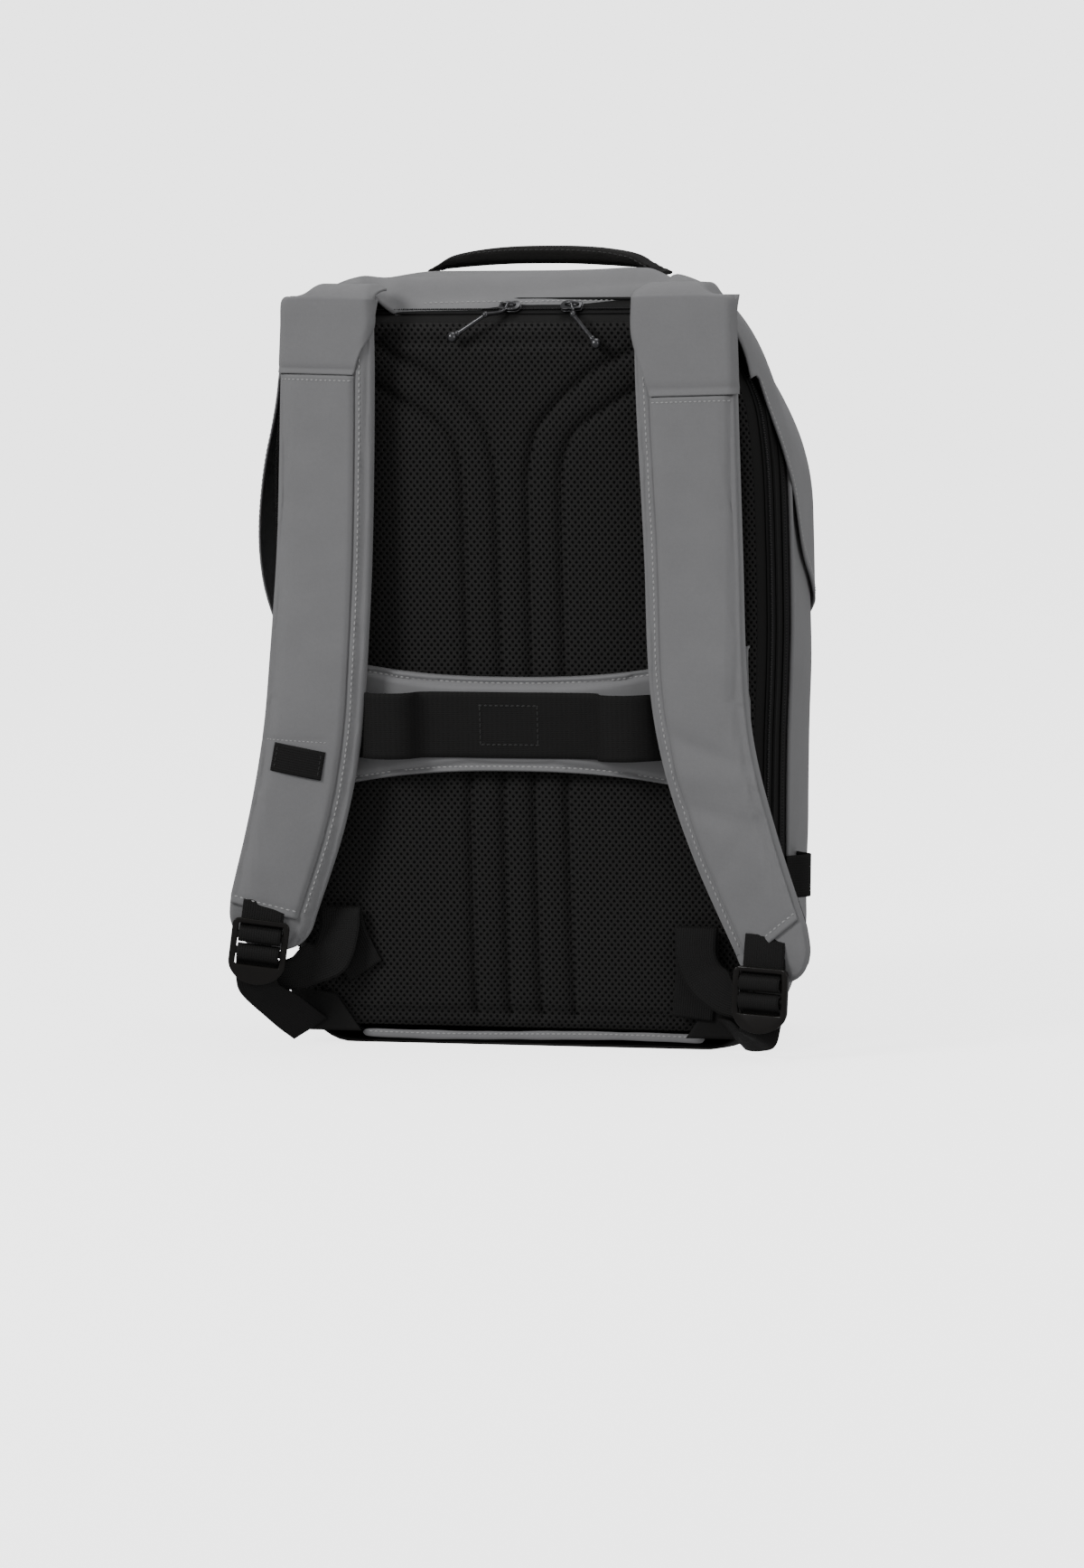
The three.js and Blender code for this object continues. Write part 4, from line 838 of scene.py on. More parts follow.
def back_fold(x, behind):
    """How far the cover's rolled and gathered back edge stands up, less how far it droops over the zip."""
    past = behind - 17 - 0.05 * x
    roll = 2.4 * math.exp(-((past / 4.5) ** 2)) - 1.2 * math.exp(-(((past + 8) / 3) ** 2))
    puckers = 1 + 0.5 * ripple(metres(x, 0, 0), 16, 4.4)
    droop = (5 + 5 * ease(-10, -80, x) + 2 * ease(10, 80, x)) * clamp(1 - behind / 15) ** 2
    return (roll * puckers - droop) * (1 - ease(72, 92, abs(x)))


def cover_place(u, v):
    if v <= COVER_TURN:
        x, y, z = cover_row(u, mix(COVER_START, DEPTH, v / COVER_TURN))
        share = 0.0
    else:
        share = (v - COVER_TURN) / (1 - COVER_TURN)
        rim_x, _, rim_z = cover_row(u, DEPTH)
        x = mix(rim_x, mix(-HEM_HALF, HEM_HALF, u), share)
        z = mix(rim_z, HEM, share)
        y = front_depth(x, z) + COVER_REST
    point = metres(x, y, z)
    if v < COVER_TURN and y < GUSSET + 8:
        point.z += back_fold(x, y - cover_depth(COVER_START, x)) / 1000
    wander = ripple(point, 110, 9.3) * 1.2 + ripple(point, 45, 2.2) * 0.45
    slack = clamp(4 * share) * (1 - 0.6 * share)
    folded = 0.4 * math.exp(-(min(u, 1 - u) * 1000 / 9) ** 2) + 0.4 * ease(0.975, 0.985, v)
    side = math.copysign(1, x) * ease(0.8 * HALF_WIDTH, HALF_WIDTH, abs(x)) * (1 - clamp(8 * share))
    return point + Vector((side * folded, slack * wander + folded * clamp(8 * share), 0)) / 1000


cover = make_piece(
    "cover_cloth",
    turn_out(lay_cloth(230, 120, cover_place, size=(1000, 430))),
    grey_fabric,
    ["front_cover"],
)
thicken(cover, WALL, 1)

cover_seams = []
for u in (0.008, 0.992):
    cover_seams.append([surface_at(cover_place, u, mix(0.03, 0.99, i / 220)) for i in range(221)])
cover_seams.append([surface_at(cover_place, mix(0.01, 0.99, i / 160), 0.982) for i in range(161)])
cover_seams.append([surface_at(cover_place, mix(0.33, 0.67, i / 160), 0.022) for i in range(161)])
cover_seams = [[(point + out * WALL / 1000, out) for point, out in line] for line in cover_seams]
sew("cover_stitches", cover_seams)
print("cover spans", [round(v * 1000) for v in cover.dimensions])

# %% [markdown]
# Pads are stuffed cloth, so their form comes from a cloth simulation: a closed shape, remeshed
# evenly, is blown up by pressure with gravity off. No vertex may move further than a cap. The blown
# form isn't shown. It is kept as a surface that the finished cloth is laid on, so that the finished
# cloth keeps its own clean grid, map and seams.


# %% Blown forms
def shape_tree(piece):
    graph = bpy.context.evaluated_depsgraph_get()
    shaped = piece.evaluated_get(graph)
    mesh = shaped.to_mesh()
    points = [vert.co.copy() for vert in mesh.vertices]
    faces = [list(face.vertices) for face in mesh.polygons]
    shaped.to_mesh_clear()
    return points, faces


def blown(bm, voxel=5.0, pressure=4.0, cap=6.0, frames=16):
    """A closed bmesh puffed up as a stuffed pad, as a tree that lines can be cast on."""
    mesh = bpy.data.meshes.new("form")
    bm.to_mesh(mesh)
    bm.free()
    form = bpy.data.objects.new("form", mesh)
    bpy.context.scene.collection.objects.link(form)
    even = form.modifiers.new("even", "REMESH")
    even.mode = "VOXEL"
    even.voxel_size = voxel / 1000
    points, faces = shape_tree(form)
    form.modifiers.clear()
    mesh.clear_geometry()
    mesh.from_pydata([list(point) for point in points], [], faces)
    cloth = form.modifiers.new("cloth", "CLOTH")
    cloth.settings.quality = 4
    cloth.settings.mass = 0.3
    cloth.settings.tension_stiffness = 12
    cloth.settings.compression_stiffness = 12
    cloth.settings.bending_stiffness = 0.4
    cloth.settings.use_pressure = True
    cloth.settings.uniform_pressure_force = pressure
    cloth.settings.effector_weights.gravity = 0
    cloth.point_cache.frame_start = 1
    cloth.point_cache.frame_end = frames
    for frame_number in range(1, frames + 1):
        bpy.context.scene.frame_set(frame_number)
        bpy.context.view_layer.update()
    moved, faces = shape_tree(form)
    capped = []
    for start, end in zip(points, moved):
        shift = end - start
        most = cap / 1000
        capped.append(start + shift * min(1, most / max(shift.length, 1e-9)))
    points = capped
    bpy.context.scene.frame_set(1)
    bpy.data.objects.remove(form)
    bpy.data.meshes.remove(mesh)
    return BVHTree.FromPolygons(points, faces)


def settle(tree, inside, through):
    """Where a line from inside a form through a point leaves the form."""
    hit = tree.ray_cast(inside, (through - inside).normalized())[0]
    return hit if hit is not None else through


# %% [markdown]
# The back panel is one thick pad. Its blown form is laid with a fine grid of air mesh, and then four
# sewn channels are pressed in. They run straight up the lower part and fan out towards the top.

# %% Back panel
PANEL_RIM, PANEL_CROWN = 3.4, 4.2
CHANNEL_DEEP = 4.6
PANEL_TOP = section(0)[1]
# height, how far the inner channel has moved out, how far the outer one has
CHANNELS = flowing([
    (0, 0, 0), (0.74, 0, 0), (0.785, 0.02, 0.025), (0.81, 0.045, 0.075), (0.835, 0.105, 0.18),
    (0.88, 0.255, 0.41), (0.925, 0.48, 0.6), (1, 0.5, 0.62),
])


@lru_cache(maxsize=None)
def panel_half(z):
    half, top, radius, foot = section(0)[:4]
    over = clamp(z - (top - radius), 0, radius)
    under = clamp(PANEL_BOTTOM + foot - z, 0, foot)

    def cut(size, rise):
        return size - math.sqrt(max(size * size - rise * rise, 0))

    return drawn_in(half - cut(radius, over) - cut(foot, under), z)


def panel_front(x, z):
    across = 1 - clamp(abs(x) / max(panel_half(z), 1)) ** 6
    rise = 1 - clamp(abs(2 * (z - PANEL_BOTTOM) / (PANEL_TOP - PANEL_BOTTOM) - 1)) ** 10
    return -0.3 - PANEL_RIM - PANEL_CROWN * across * rise


def panel_spot(u, v):
    """A place on the flat pad, [x, z], with its corners rounded: u and v run from -1 to 1."""
    z = mix(PANEL_BOTTOM, PANEL_TOP, 0.5 + 0.5 * v)
    return u * panel_half(z), z


def panel_start(u, v):
    """The pad before it is blown up: a low dome that falls to the seam at its rim."""
    u, v = 2 * u - 1, 2 * v - 1
    x, z = panel_spot(u, v)
    rim = 1 - (1 - clamp((1 - abs(u)) / 0.045) * clamp((1 - abs(v)) / 0.03)) ** 2
    return metres(x, mix(-0.3, panel_front(x, z) + 0.8, rim), z)


panel_blank = close_ends(turn_out(lay_cloth(60, 84, panel_start)))
panel_form = blown(panel_blank, voxel=5.5, pressure=3.2, cap=3.0, frames=12)


def press(distance, deep):
    return deep * (0.62 * math.exp(-((distance / 1.9) ** 2)) + 0.38 * math.exp(-((distance / 5.5) ** 2)))


@lru_cache(maxsize=None)
def channel_places(z):
    inner, outer = CHANNELS(z / HEIGHT)
    outer = min(31 + outer * HALF_WIDTH, panel_half(z) - 20)
    inner = min(10 + inner * HALF_WIDTH, outer - 15)
    return inner, outer


def channel_press(x, z):
    """How deep the channels are at a place. Distance is taken across the channel, not level."""
    total = 0.0
    for i in (0, 1):
        place = channel_places(z)[i]
        slope = (channel_places(z + 2)[i] - channel_places(z - 2)[i]) / 4
        total = max(total, press((abs(x) - place) / math.hypot(1, slope), CHANNEL_DEEP))
    fade = ease(PANEL_BOTTOM + 1, PANEL_BOTTOM + 12, z) * ease(2, 22, panel_half(z) - abs(x))
    return total * fade * ease(PANEL_TOP - 2, PANEL_TOP - 16, z) if z > PANEL_TOP - 20 else total * fade


def panel_place(u, v):
    point = panel_start(u, v)
    x, z = point.x * 1000, point.z * 1000
    rim = clamp(min(1 - abs(2 * u - 1), 1 - abs(2 * v - 1)) / 0.03)
    if rim > 0:
        hit = panel_form.ray_cast(Vector((point.x, -0.2, point.z)), Vector((0, 1, 0)))[0]
        if hit is not None:
            point.y = mix(point.y, max(hit.y, point.y - 0.002), rim)
    wander = 0.45 * ripple(point, 52, 3.0) + 0.15 * ripple(point, 19, 8.0)
    seam = 0.9 * math.exp(-(((1 - abs(2 * u - 1)) * 140 - 7) / 1.6) ** 2)
    point.y += (channel_press(x, z) + (wander + seam * clamp(rim)) * rim) / 1000
    return point


panel = make_piece(
    "panel_mesh",
    turn_out(lay_cloth(176, 190, panel_place, size=(290, 417))),
    black_mesh,
    ["back_panel"],
)
print("panel bulges to", round(1000 * min(vert.co.y for vert in panel.data.vertices) + DEPTH / 2, 1), "mm")

# %% [markdown]
# Below the pad runs a rolled edge of grey cloth with a row of stitches.

# %% Rolled edge under the panel
ROLL_ENDS = (-104, 111)


def roll_height(x):
    return 6.4 + 0.8 * math.sin(x / 37)


def rolled_place(u, v):
    angle = 2 * math.pi * u
    x = mix(*ROLL_ENDS, v)
    end = math.sqrt(max(1 - (abs(2 * v - 1)) ** 60, 0.02))
    swell = 1 + 0.05 * math.sin(x / 13) + 0.04 * math.sin(x / 5.3)
    y = -1.7 - 1.5 * swell * end * math.cos(angle)
    z = roll_height(x) + 2.5 * swell * end * math.sin(angle)
    return metres(x, min(y, -0.35), z)


rolled = close_ends(lay_cloth(16, 150, rolled_place, (18, 204), tube=True))
make_piece("rolled_edge", rolled, grey_fabric, ["bottom_binding"])
roll_out = Vector((0, -1, 0.35)).normalized()
sew("rolled_edge_stitches", [[(metres(x, -3.1, roll_height(x) + 1), roll_out) for x in range(-100, 107, 2)]])

# %% [markdown]
# The lumbar band is a padded bridge of grey cloth across the panel. It is blown up too, and two rows
# of stitches press a line along each long edge.

# %% Lumbar band
BAND_CENTRE, BAND_HEIGHT, BAND_END, BAND_THICK, BAND_BOW = 192.5, 56, 94, 3, 3
BAND_FLARE = 2.4


def band_back(x):
    return panel_front(x, BAND_CENTRE) - 0.3 - 0.2 * BAND_BOW - BAND_BOW * (1 - (x / HALF_WIDTH) ** 2)


def band_front(x):
    return band_back(x) - BAND_THICK - BAND_BOW * (1 - (x / HALF_WIDTH) ** 2)


BAND_HALF = panel_half(BAND_CENTRE) - 0.3


def band_spot(u, angle_share):
    """A place on a flat oval section: angle_share goes once round it."""
    share = 2 * u - 1
    x = share * BAND_HALF
    tall = mix(BAND_HEIGHT, BAND_END, abs(share) ** BAND_FLARE)
    angle = 2 * math.pi * angle_share
    cos, sin = math.cos(angle), math.sin(angle)
    rise = math.copysign(abs(cos) ** 0.35, cos)
    front = math.copysign(abs(sin) ** 0.5, sin)
    middle, thick = (band_back(x) + band_front(x)) / 2, (band_back(x) - band_front(x)) / 2
    return metres(x, middle - front * thick, BAND_CENTRE + rise * tall / 2)


lumbar_start = close_ends(lay_cloth(40, 60, lambda u, v: band_spot(v, u), tube=True))
lumbar_form = blown(lumbar_start, voxel=4.0, pressure=3.0, cap=2.0, frames=10)


def lumbar_place(u, v):
    """u goes up the band's front face and v across the bag."""
    share = 2 * v - 1
    x = share * BAND_HALF
    tall = mix(BAND_HEIGHT, BAND_END, abs(share) ** BAND_FLARE)
    rise = 2 * u - 1
    z = BAND_CENTRE + rise * tall / 2
    rim = clamp((1 - abs(rise)) / 0.05)
    y = mix(band_back(x) - 0.4, band_front(x), 1 - (1 - rim) ** 2.5)
    point = metres(x, y, z)
    if rim > 0.6:
        hit = lumbar_form.ray_cast(Vector((point.x, -0.2, point.z)), Vector((0, 1, 0)))[0]
        if hit is not None:
            point.y = mix(point.y, clamp(hit.y, point.y - 0.0012, point.y + 0.001), (rim - 0.6) / 0.4)
    edge = (1 - abs(rise)) * tall / 2
    seam = 0.75 * math.exp(-((edge - 3.4) / 1.1) ** 2)
    creases = 0.5 * ripple(point, 34, 5.0) * clamp(edge / 8)
    point.y += (seam + creases) / 1000
    return point


lumbar = make_piece(
    "lumbar_pad",
    turn_out(lay_cloth(64, 200, lumbar_place, size=(56, 290))),
    grey_fabric,
    ["lumbar_band"],
)
thicken(lumbar, 1.2, -1)

lumbar_seams = []
for side in (0, 1):
    line = []
    for i in range(221):
        v = mix(0.01, 0.99, i / 220)
        tall = mix(BAND_HEIGHT, BAND_END, abs(2 * v - 1) ** BAND_FLARE)
        line.append(surface_at(lumbar_place, 3.4 / tall if side == 0 else 1 - 3.4 / tall, v))
    lumbar_seams.append(line)
sew("lumbar_stitches", lumbar_seams, thick=0.5, pitch=3.6, length=2.6)

# %% [markdown]
# Webbing and elastic are flat strips on a path. The path is a list of places with the direction of
# the strip's width at each, and a smooth curve is drawn through them.


# %% Strips of webbing
def curve_through(places, share):
    """A place on a smooth curve through a list of vectors, by its share of the list."""
    last = len(places) - 1
    way = clamp(share) * last
    i = min(int(way), last - 1)
    t = way - i
    p1, p2 = places[i], places[i + 1]
    p0, p3 = places[max(i - 1, 0)], places[min(i + 2, last)]
    square, cube = 2 * p0 - 5 * p1 + 4 * p2 - p3, 3 * p1 - p0 - 3 * p2 + p3
    return 0.5 * (2 * p1 + (p2 - p0) * t + square * t * t + cube * t**3)


def even_path(places, directions, step):
    """Evenly spaced places and directions on the curve through a path, in the frame."""
    fine = 24 * (len(places) - 1)
    dense = [curve_through(places, i / fine) for i in range(fine + 1)]
    turns = [curve_through(directions, i / fine).normalized() for i in range(fine + 1)]
    ways = [0.0]
    for a, b in zip(dense, dense[1:]):
        ways.append(ways[-1] + (b - a).length)
    count = max(round(ways[-1] * 1000 / step), 2)
    made, at = [], 0
    for k in range(count + 1):
        way = ways[-1] * k / count
        while at < fine - 1 and ways[at + 1] < way:
            at += 1
        share = clamp((way - ways[at]) / max(ways[at + 1] - ways[at], 1e-9))
        made.append((dense[at].lerp(dense[at + 1], share), turns[at].lerp(turns[at + 1], share).normalized()))
    return made


def strip(name, places, directions, width, thickness, material, stands_for=(), step=1.6):
    """A strip through some places, with the way of its width at each. Gives the piece and its rule."""
    path = even_path(places, directions, step)
    length = 1000 * sum((b[0] - a[0]).length for a, b in zip(path, path[1:]))
    rows = len(path) - 1

    def place(u, v):
        at = v * rows
        i = min(int(at), rows - 1)
        point = path[i][0].lerp(path[i + 1][0], at - i)
        across = path[i][1].lerp(path[i + 1][1], at - i)
        return point + across * ((u - 0.5) * width / 1000)

    bm = lay_cloth(12, rows, place, (width, length))
    piece = make_piece(name, bm, material, stands_for)
    thicken(piece, thickness, 0)
    return piece, place


print("strips ready")

# %% [markdown]
# The elastic strap lies over the lumbar band. It is sewn down in the middle with a box of stitches and
# at its ends, and between them it stands off in two loops, one for each tube of a suitcase handle.

# %% Luggage strap
ELASTIC_WIDTH, ELASTIC_THICK, ELASTIC_SPAN = 39, 2, 224
LOOP_CENTRE, LOOP_WIDTH, LOOP_DEPTH = 72, 23, 16


def lie(x):
    return band_front(x) - 0.3 - ELASTIC_THICK / 2


loop_in, loop_out = LOOP_CENTRE - LOOP_WIDTH / 2, LOOP_CENTRE + LOOP_WIDTH / 2
crest = lie(LOOP_CENTRE) - LOOP_DEPTH
elastic_half = [
    (0, lie(0)),
    (0.28 * LOOP_CENTRE, lie(0.28 * LOOP_CENTRE)),
    (0.55 * LOOP_CENTRE, lie(0.55 * LOOP_CENTRE)),
    (loop_in - 6, mix(lie(loop_in), crest, 0.2)),
    (loop_in - 1, mix(lie(loop_in), crest, 0.72)),
    (loop_in + 4, mix(lie(loop_in), crest, 0.97)),
    (LOOP_CENTRE, crest - 0.5),
    (loop_out - 3, mix(lie(loop_out), crest, 0.95)),
    (loop_out + 3, mix(lie(loop_out), crest, 0.72)),
    (loop_out + 9, mix(lie(loop_out), crest, 0.4)),
    (loop_out + 15, mix(lie(loop_out), crest, 0.12)),
    (ELASTIC_SPAN / 2, lie(ELASTIC_SPAN / 2)),
]
elastic_path = [(-x, y) for x, y in elastic_half[:0:-1]] + elastic_half
places = [metres(x, y, BAND_CENTRE) for x, y in elastic_path]
upright = [Vector((0, 0, 1))] * len(places)
strip("elastic_strap", places, upright, ELASTIC_WIDTH, 1.5, black_elastic, ["luggage_strap"])

box_stitch = []
corners = [(-18, -11.5), (18, -11.5), (18, 11.5), (-18, 11.5), (-18, -11.5)]
for (x0, z0), (x1, z1) in zip(corners, corners[1:]):
    line = [(mix(x0, x1, i / 20), mix(z0, z1, i / 20)) for i in range(21)]
    box_stitch.append([(metres(x, lie(x) - 0.85, BAND_CENTRE + z), Vector((0, -1, 0))) for x, z in line])
sew("elastic_stitches", box_stitch, material=dark_thread, slot="black_webbing", thick=0.5, length=2.6, pitch=3.4)

# %% [markdown]
# Each shoulder strap hangs from the top corner, stands a little off the panel and turns outwards
# towards its hem. A frame at each height gives three directions: along the strap, across it towards
# its outer edge, and forward. Everything on the strap is placed by these frames.

# %% Path of the straps
STRAP_TOP, STRAP_WIDTH, STRAP_REACH, STAND_OFF = 441, 61, 149, 21
LINING, PAD, BORDER, TONGUE_LENGTH = 2.6, 8.6, 10.5, 26
HEMS = {-1: 85, 1: 70.5}
YOKE_SEAM = {-1: 399, 1: 386}
TONGUE_LEAN = {-1: 0.15, 1: 0.14}
BUCKLE_LEAN = {-1: 0.15, 1: -0.06}
# drop, left, right, left width, right width, stand-off, roll
STRAP_PATH = flowing([
    (0, 0.715, 0.772, 0.9, 1, 0.3, 0), (0.12, 0.722, 0.775, 0.945, 1.02, 0.38, 0),
    (0.4, 0.744, 0.797, 0.965, 0.985, 0.55, 0), (0.6, 0.775, 0.819, 0.98, 0.99, 0.8, 3),
    (0.72, 0.809, 0.866, 0.97, 0.97, 0.88, 7), (0.85, 0.879, 0.966, 0.94, 0.94, 0.94, 12),
    (1, 0.995, 1.114, 0.86, 0.86, 1, 17),
])
# along, width, thickness
TONGUE = flowing([
    (0, 1, 1), (0.12, 0.99, 0.95), (0.45, 0.93, 0.85), (0.75, 0.76, 0.72), (0.93, 0.52, 0.55), (1, 0.3, 0.4),
])


def strap_point(side, drop):
    left, right, left_width, right_width, stand, roll = STRAP_PATH(drop)
    x = side * (left if side < 0 else right) * STRAP_REACH
    y = panel_front(0, BAND_CENTRE) + 1 - stand * STAND_OFF
    return metres(x, y, mix(STRAP_TOP, HEMS[side], drop))


def frame_along(side, drop, along):
    row = STRAP_PATH(drop)
    level = Vector((side, 0, 0))
    level = (level - along * level.dot(along)).normalized()
    facing = along.cross(level) * side
    roll = math.radians(row[5])
    across = level * math.cos(roll) + facing * math.sin(roll)
    out = facing * math.cos(roll) - level * math.sin(roll)
    width = (row[2] if side < 0 else row[3]) * STRAP_WIDTH
    return strap_point(side, drop), along, across, out, width, 1.0


@lru_cache(maxsize=None)
def strap_frame(side, drop):
    before, after = strap_point(side, max(drop - 0.02, 0)), strap_point(side, min(drop + 0.02, 1))
    return frame_along(side, drop, (after - before).normalized())


@lru_cache(maxsize=None)
def hang_frame(side, lean):
    forward = strap_frame(side, 1)[1].y
    return frame_along(side, 1, Vector((side * lean, forward, -1)).normalized())


TONGUE_SHARE = 0.1


@lru_cache(maxsize=None)
def body_frame(side, share):
    """A frame anywhere from the strap's top to the tip of its tongue."""
    if share <= 1 - TONGUE_SHARE:
        return strap_frame(side, share / (1 - TONGUE_SHARE))
    down = (share - 1 + TONGUE_SHARE) / TONGUE_SHARE
    at, along, across, out, width, thick = hang_frame(side, TONGUE_LEAN[side])
    wide, thin = TONGUE(down)
    turned = strap_frame(side, 1)
    blend = ease(0, 0.3, down)
    across = turned[2].lerp(across, blend).normalized()
    return at + along * (down * TONGUE_LENGTH / 1000), along, across, out, width * wide, thin


def on_strap(frame, across, lift):
    at, along, side_way, out, width, thick = frame
    return at + side_way * (across * width / 2000) + out * (lift / 1000)


def pad_section(angle, power=0.42):
    """A flat oval: across from -1 to 1 and rise from 0 to 1."""
    cos, sin = math.cos(angle), math.sin(angle)
    across = math.copysign(abs(cos) ** power, cos)
    rise = 0.5 + 0.5 * math.copysign(abs(sin) ** 0.62, sin)
    return across, rise


print("strap hems at", HEMS)

# %% [markdown]
# The pad is blown up between its edges, and the grey cloth is then laid round it. Its edge on the
# inner side keeps a flat border with the seam of the cover beside it.

# %% Strap pads
pad_forms, pad_places = {}, {}


def cover_edge(side, drop):
    """Where the cover's seam lies across the strap, -1 at the inner edge to 1 at the outer one."""
    return -1 + 2 * BORDER / strap_frame(side, drop)[4]


def pad_start(side):
    def place(u, v):
        frame = body_frame(side, v)
        across, rise = pad_section(2 * math.pi * u)
        low = 0.5 + 1.6 * (1 - frame[5])
        tucked = 9 * clamp(1 - v / 0.045) ** 2
        point = on_strap(frame, across, low + rise * (LINING + 0.3 + frame[5] * PAD - low))
        return point + Vector((0, tucked, 0.35 * tucked)) / 1000

    return place


def pad_place(side):
    start = pad_start(side)

    def place(u, v):
        point = start(u, v)
        front = ease(0.25, 0.85, math.sin(2 * math.pi * u)) * ease(0, 0.06, v) * ease(1, 0.96, v)
        if front == 0:
            return point
        frame = body_frame(side, v)
        hit = pad_forms[side].ray_cast(point - frame[3] * 0.005, frame[3])[0]
        blown_up = clamp((hit - point).dot(frame[3]), -0.001, 0.0016) if hit is not None else 0.0
        wander = 0.45 * ripple(point, 46, side * 3.0) + 0.2 * ripple(point, 17, 6.0)
        across = pad_section(2 * math.pi * u)[0]
        groove = 1.5 * math.exp(-(((across - cover_edge(side, clamp(v / (1 - TONGUE_SHARE)))) / 0.05) ** 2))
        return point + frame[3] * (front * (blown_up + (wander - groove) / 1000))

    return place


for side, label in ((-1, "left"), (1, "right")):
    bm = close_ends(lay_cloth(32, 70, pad_start(side), tube=True))
    pad_forms[side] = blown(bm, voxel=4.5, pressure=3.5, cap=1.6, frames=10)
    pad_places[side] = pad_place(side)
    bm = close_ends(lay_cloth(72, 190, pad_places[side], (130, 400), tube=True))
    pad = make_piece("pad_" + label, bm, grey_fabric, ["strap_pad_" + label])

    def lining_place(u, v, side=side):
        frame = body_frame(side, v * 0.965)
        across, rise = pad_section(2 * math.pi * u, 0.3)
        return on_strap(frame, across * 0.93, rise * LINING)

    bm = close_ends(lay_cloth(40, 150, lining_place, (120, 390), tube=True))
    make_piece("lining_" + label, bm, black_mesh, ["strap_lining_" + label])

# %% [markdown]
# The cover of a strap is one layer of grey cloth over its front. Its inner edge is turned in along a
# seam beside the flat border, and that seam has a row of pale stitches all the way down. At the hem a
# second row crosses the strap.

# %% Strap covers and their stitches
COVER_CLOTH = 0.8
CROSS_SEAM = 185


def drop_at(side, height):
    return (STRAP_TOP - height) / (STRAP_TOP - HEMS[side])


def hem_slant(side, across):
    """How much further down the hem is at a place across the strap, as a share of its way."""
    return 0.008 + 0.004 * across if side < 0 else 0.006 - 0.019 * across


def strap_front(side, drop, across, lift):
    """A place on the pad's front, lifted off it. It may lie a little below the strap's hem."""
    frame = strap_frame(side, clamp(drop, 0, 1))
    angle = math.acos(clamp(math.copysign(abs(across) ** (1 / 0.42), across), -1, 1))
    share = clamp(drop, 0, 1) * (1 - TONGUE_SHARE)
    point = pad_places[side](angle / (2 * math.pi), share)
    past = max(drop - 1, 0) * (STRAP_TOP - HEMS[side]) / 1000
    return point + frame[3] * (lift / 1000) + hang_frame(side, TONGUE_LEAN[side])[1] * past


def pulled_folds(drop, across):
    """Soft slanted dents low on the right strap, where it twists outwards."""
    total = 0.0
    for at, slope, deep in ((0.7, 0.05, 1.3), (0.745, 0.035, -0.9), (0.8, 0.05, 1.0), (0.86, -0.03, 0.7)):
        off = (drop - at - slope * across) * 370
        total -= deep * math.exp(-((off / 6.5) ** 2)) * (1 - 0.55 * abs(across + 0.2))
    return total


def strap_cover_place(side):
    top = drop_at(side, YOKE_SEAM[side] - 0.3)
    cross_seam = drop_at(side, CROSS_SEAM)

    def place(u, v):
        drop = mix(top, 1, v)
        across = mix(cover_edge(side, drop), 0.97, u)
        slant = drop + hem_slant(side, across) * v**3
        wrap = ease(0.9, 1, u)
        point = strap_front(side, slant, across, 0.2)
        width = strap_frame(side, drop)[4]
        edge = u * width * 0.8
        from_hem = (1 - v) * (1 - top) * 360
        dents = math.exp(-((from_hem - 4.5) / 1.1) ** 2)
        if side < 0:
            dents += 0.9 * math.exp(-(((drop - cross_seam - 0.012 * across) * 356) / 1.3) ** 2) * ease(0.12, 0.2, u)
        wander = 0.7 * ripple(point, 60, 2.0 * side + 1) + 0.35 * ripple(point, 24, 5.0 * side)
        lift = 0.55 + wander * min(1, edge / 10) * (1 - wrap) - 0.45 * dents
        if side > 0:
            lift += pulled_folds(drop, across)
        return point + strap_frame(side, drop)[3] * (lift / 1000)

    return place


for side, label in ((-1, "left"), (1, "right")):
    place = strap_cover_place(side)
    piece = make_piece(
        "strap_cloth_" + label,
        turn_out(lay_cloth(56, 200, place, (50, 320))),
        grey_fabric,
        ["strap_cover_" + label],
    )
    thicken(piece, COVER_CLOTH, 1)
    seams = []
    border = []
    for i in range(301):
        drop = mix(0.03, 0.995, i / 300)
        border.append((strap_front(side, drop, cover_edge(side, drop) - 0.12, 0.05), strap_frame(side, drop)[3]))
    seams.append([surface_at(place, mix(0.04, 0.96, i / 60), 1 - 4.5 / 330) for i in range(61)])
    if side < 0:
        rows = [mix(0.16, 0.97, i / 60) for i in range(61)]
        top = drop_at(side, YOKE_SEAM[side] - 0.3)
        seam_v = (drop_at(side, CROSS_SEAM) - top) / (1 - top)
        seams.append([surface_at(place, u, seam_v + 0.0042 + 0.014 * (u - 0.5)) for u in rows])
    raised = [[(point + out * COVER_CLOTH / 1000, out) for point, out in seams[0]], border]
    sew("strap_stitches_" + label, raised, thick=0.5, pitch=3.6, length=2.6)
    if side < 0:
        fine = [[(point + out * COVER_CLOTH / 1000, out) for point, out in seams[1]]]
        sew("strap_cross_stitches", fine, thick=0.32, pitch=2.6, length=1.7)

# %% [markdown]
# A yoke is the upper part of the same cloth. It starts at a seam across the strap, goes up over the
# top corner and runs back to the front cover's edge.

# %% Yokes
YOKE_WALL = 2


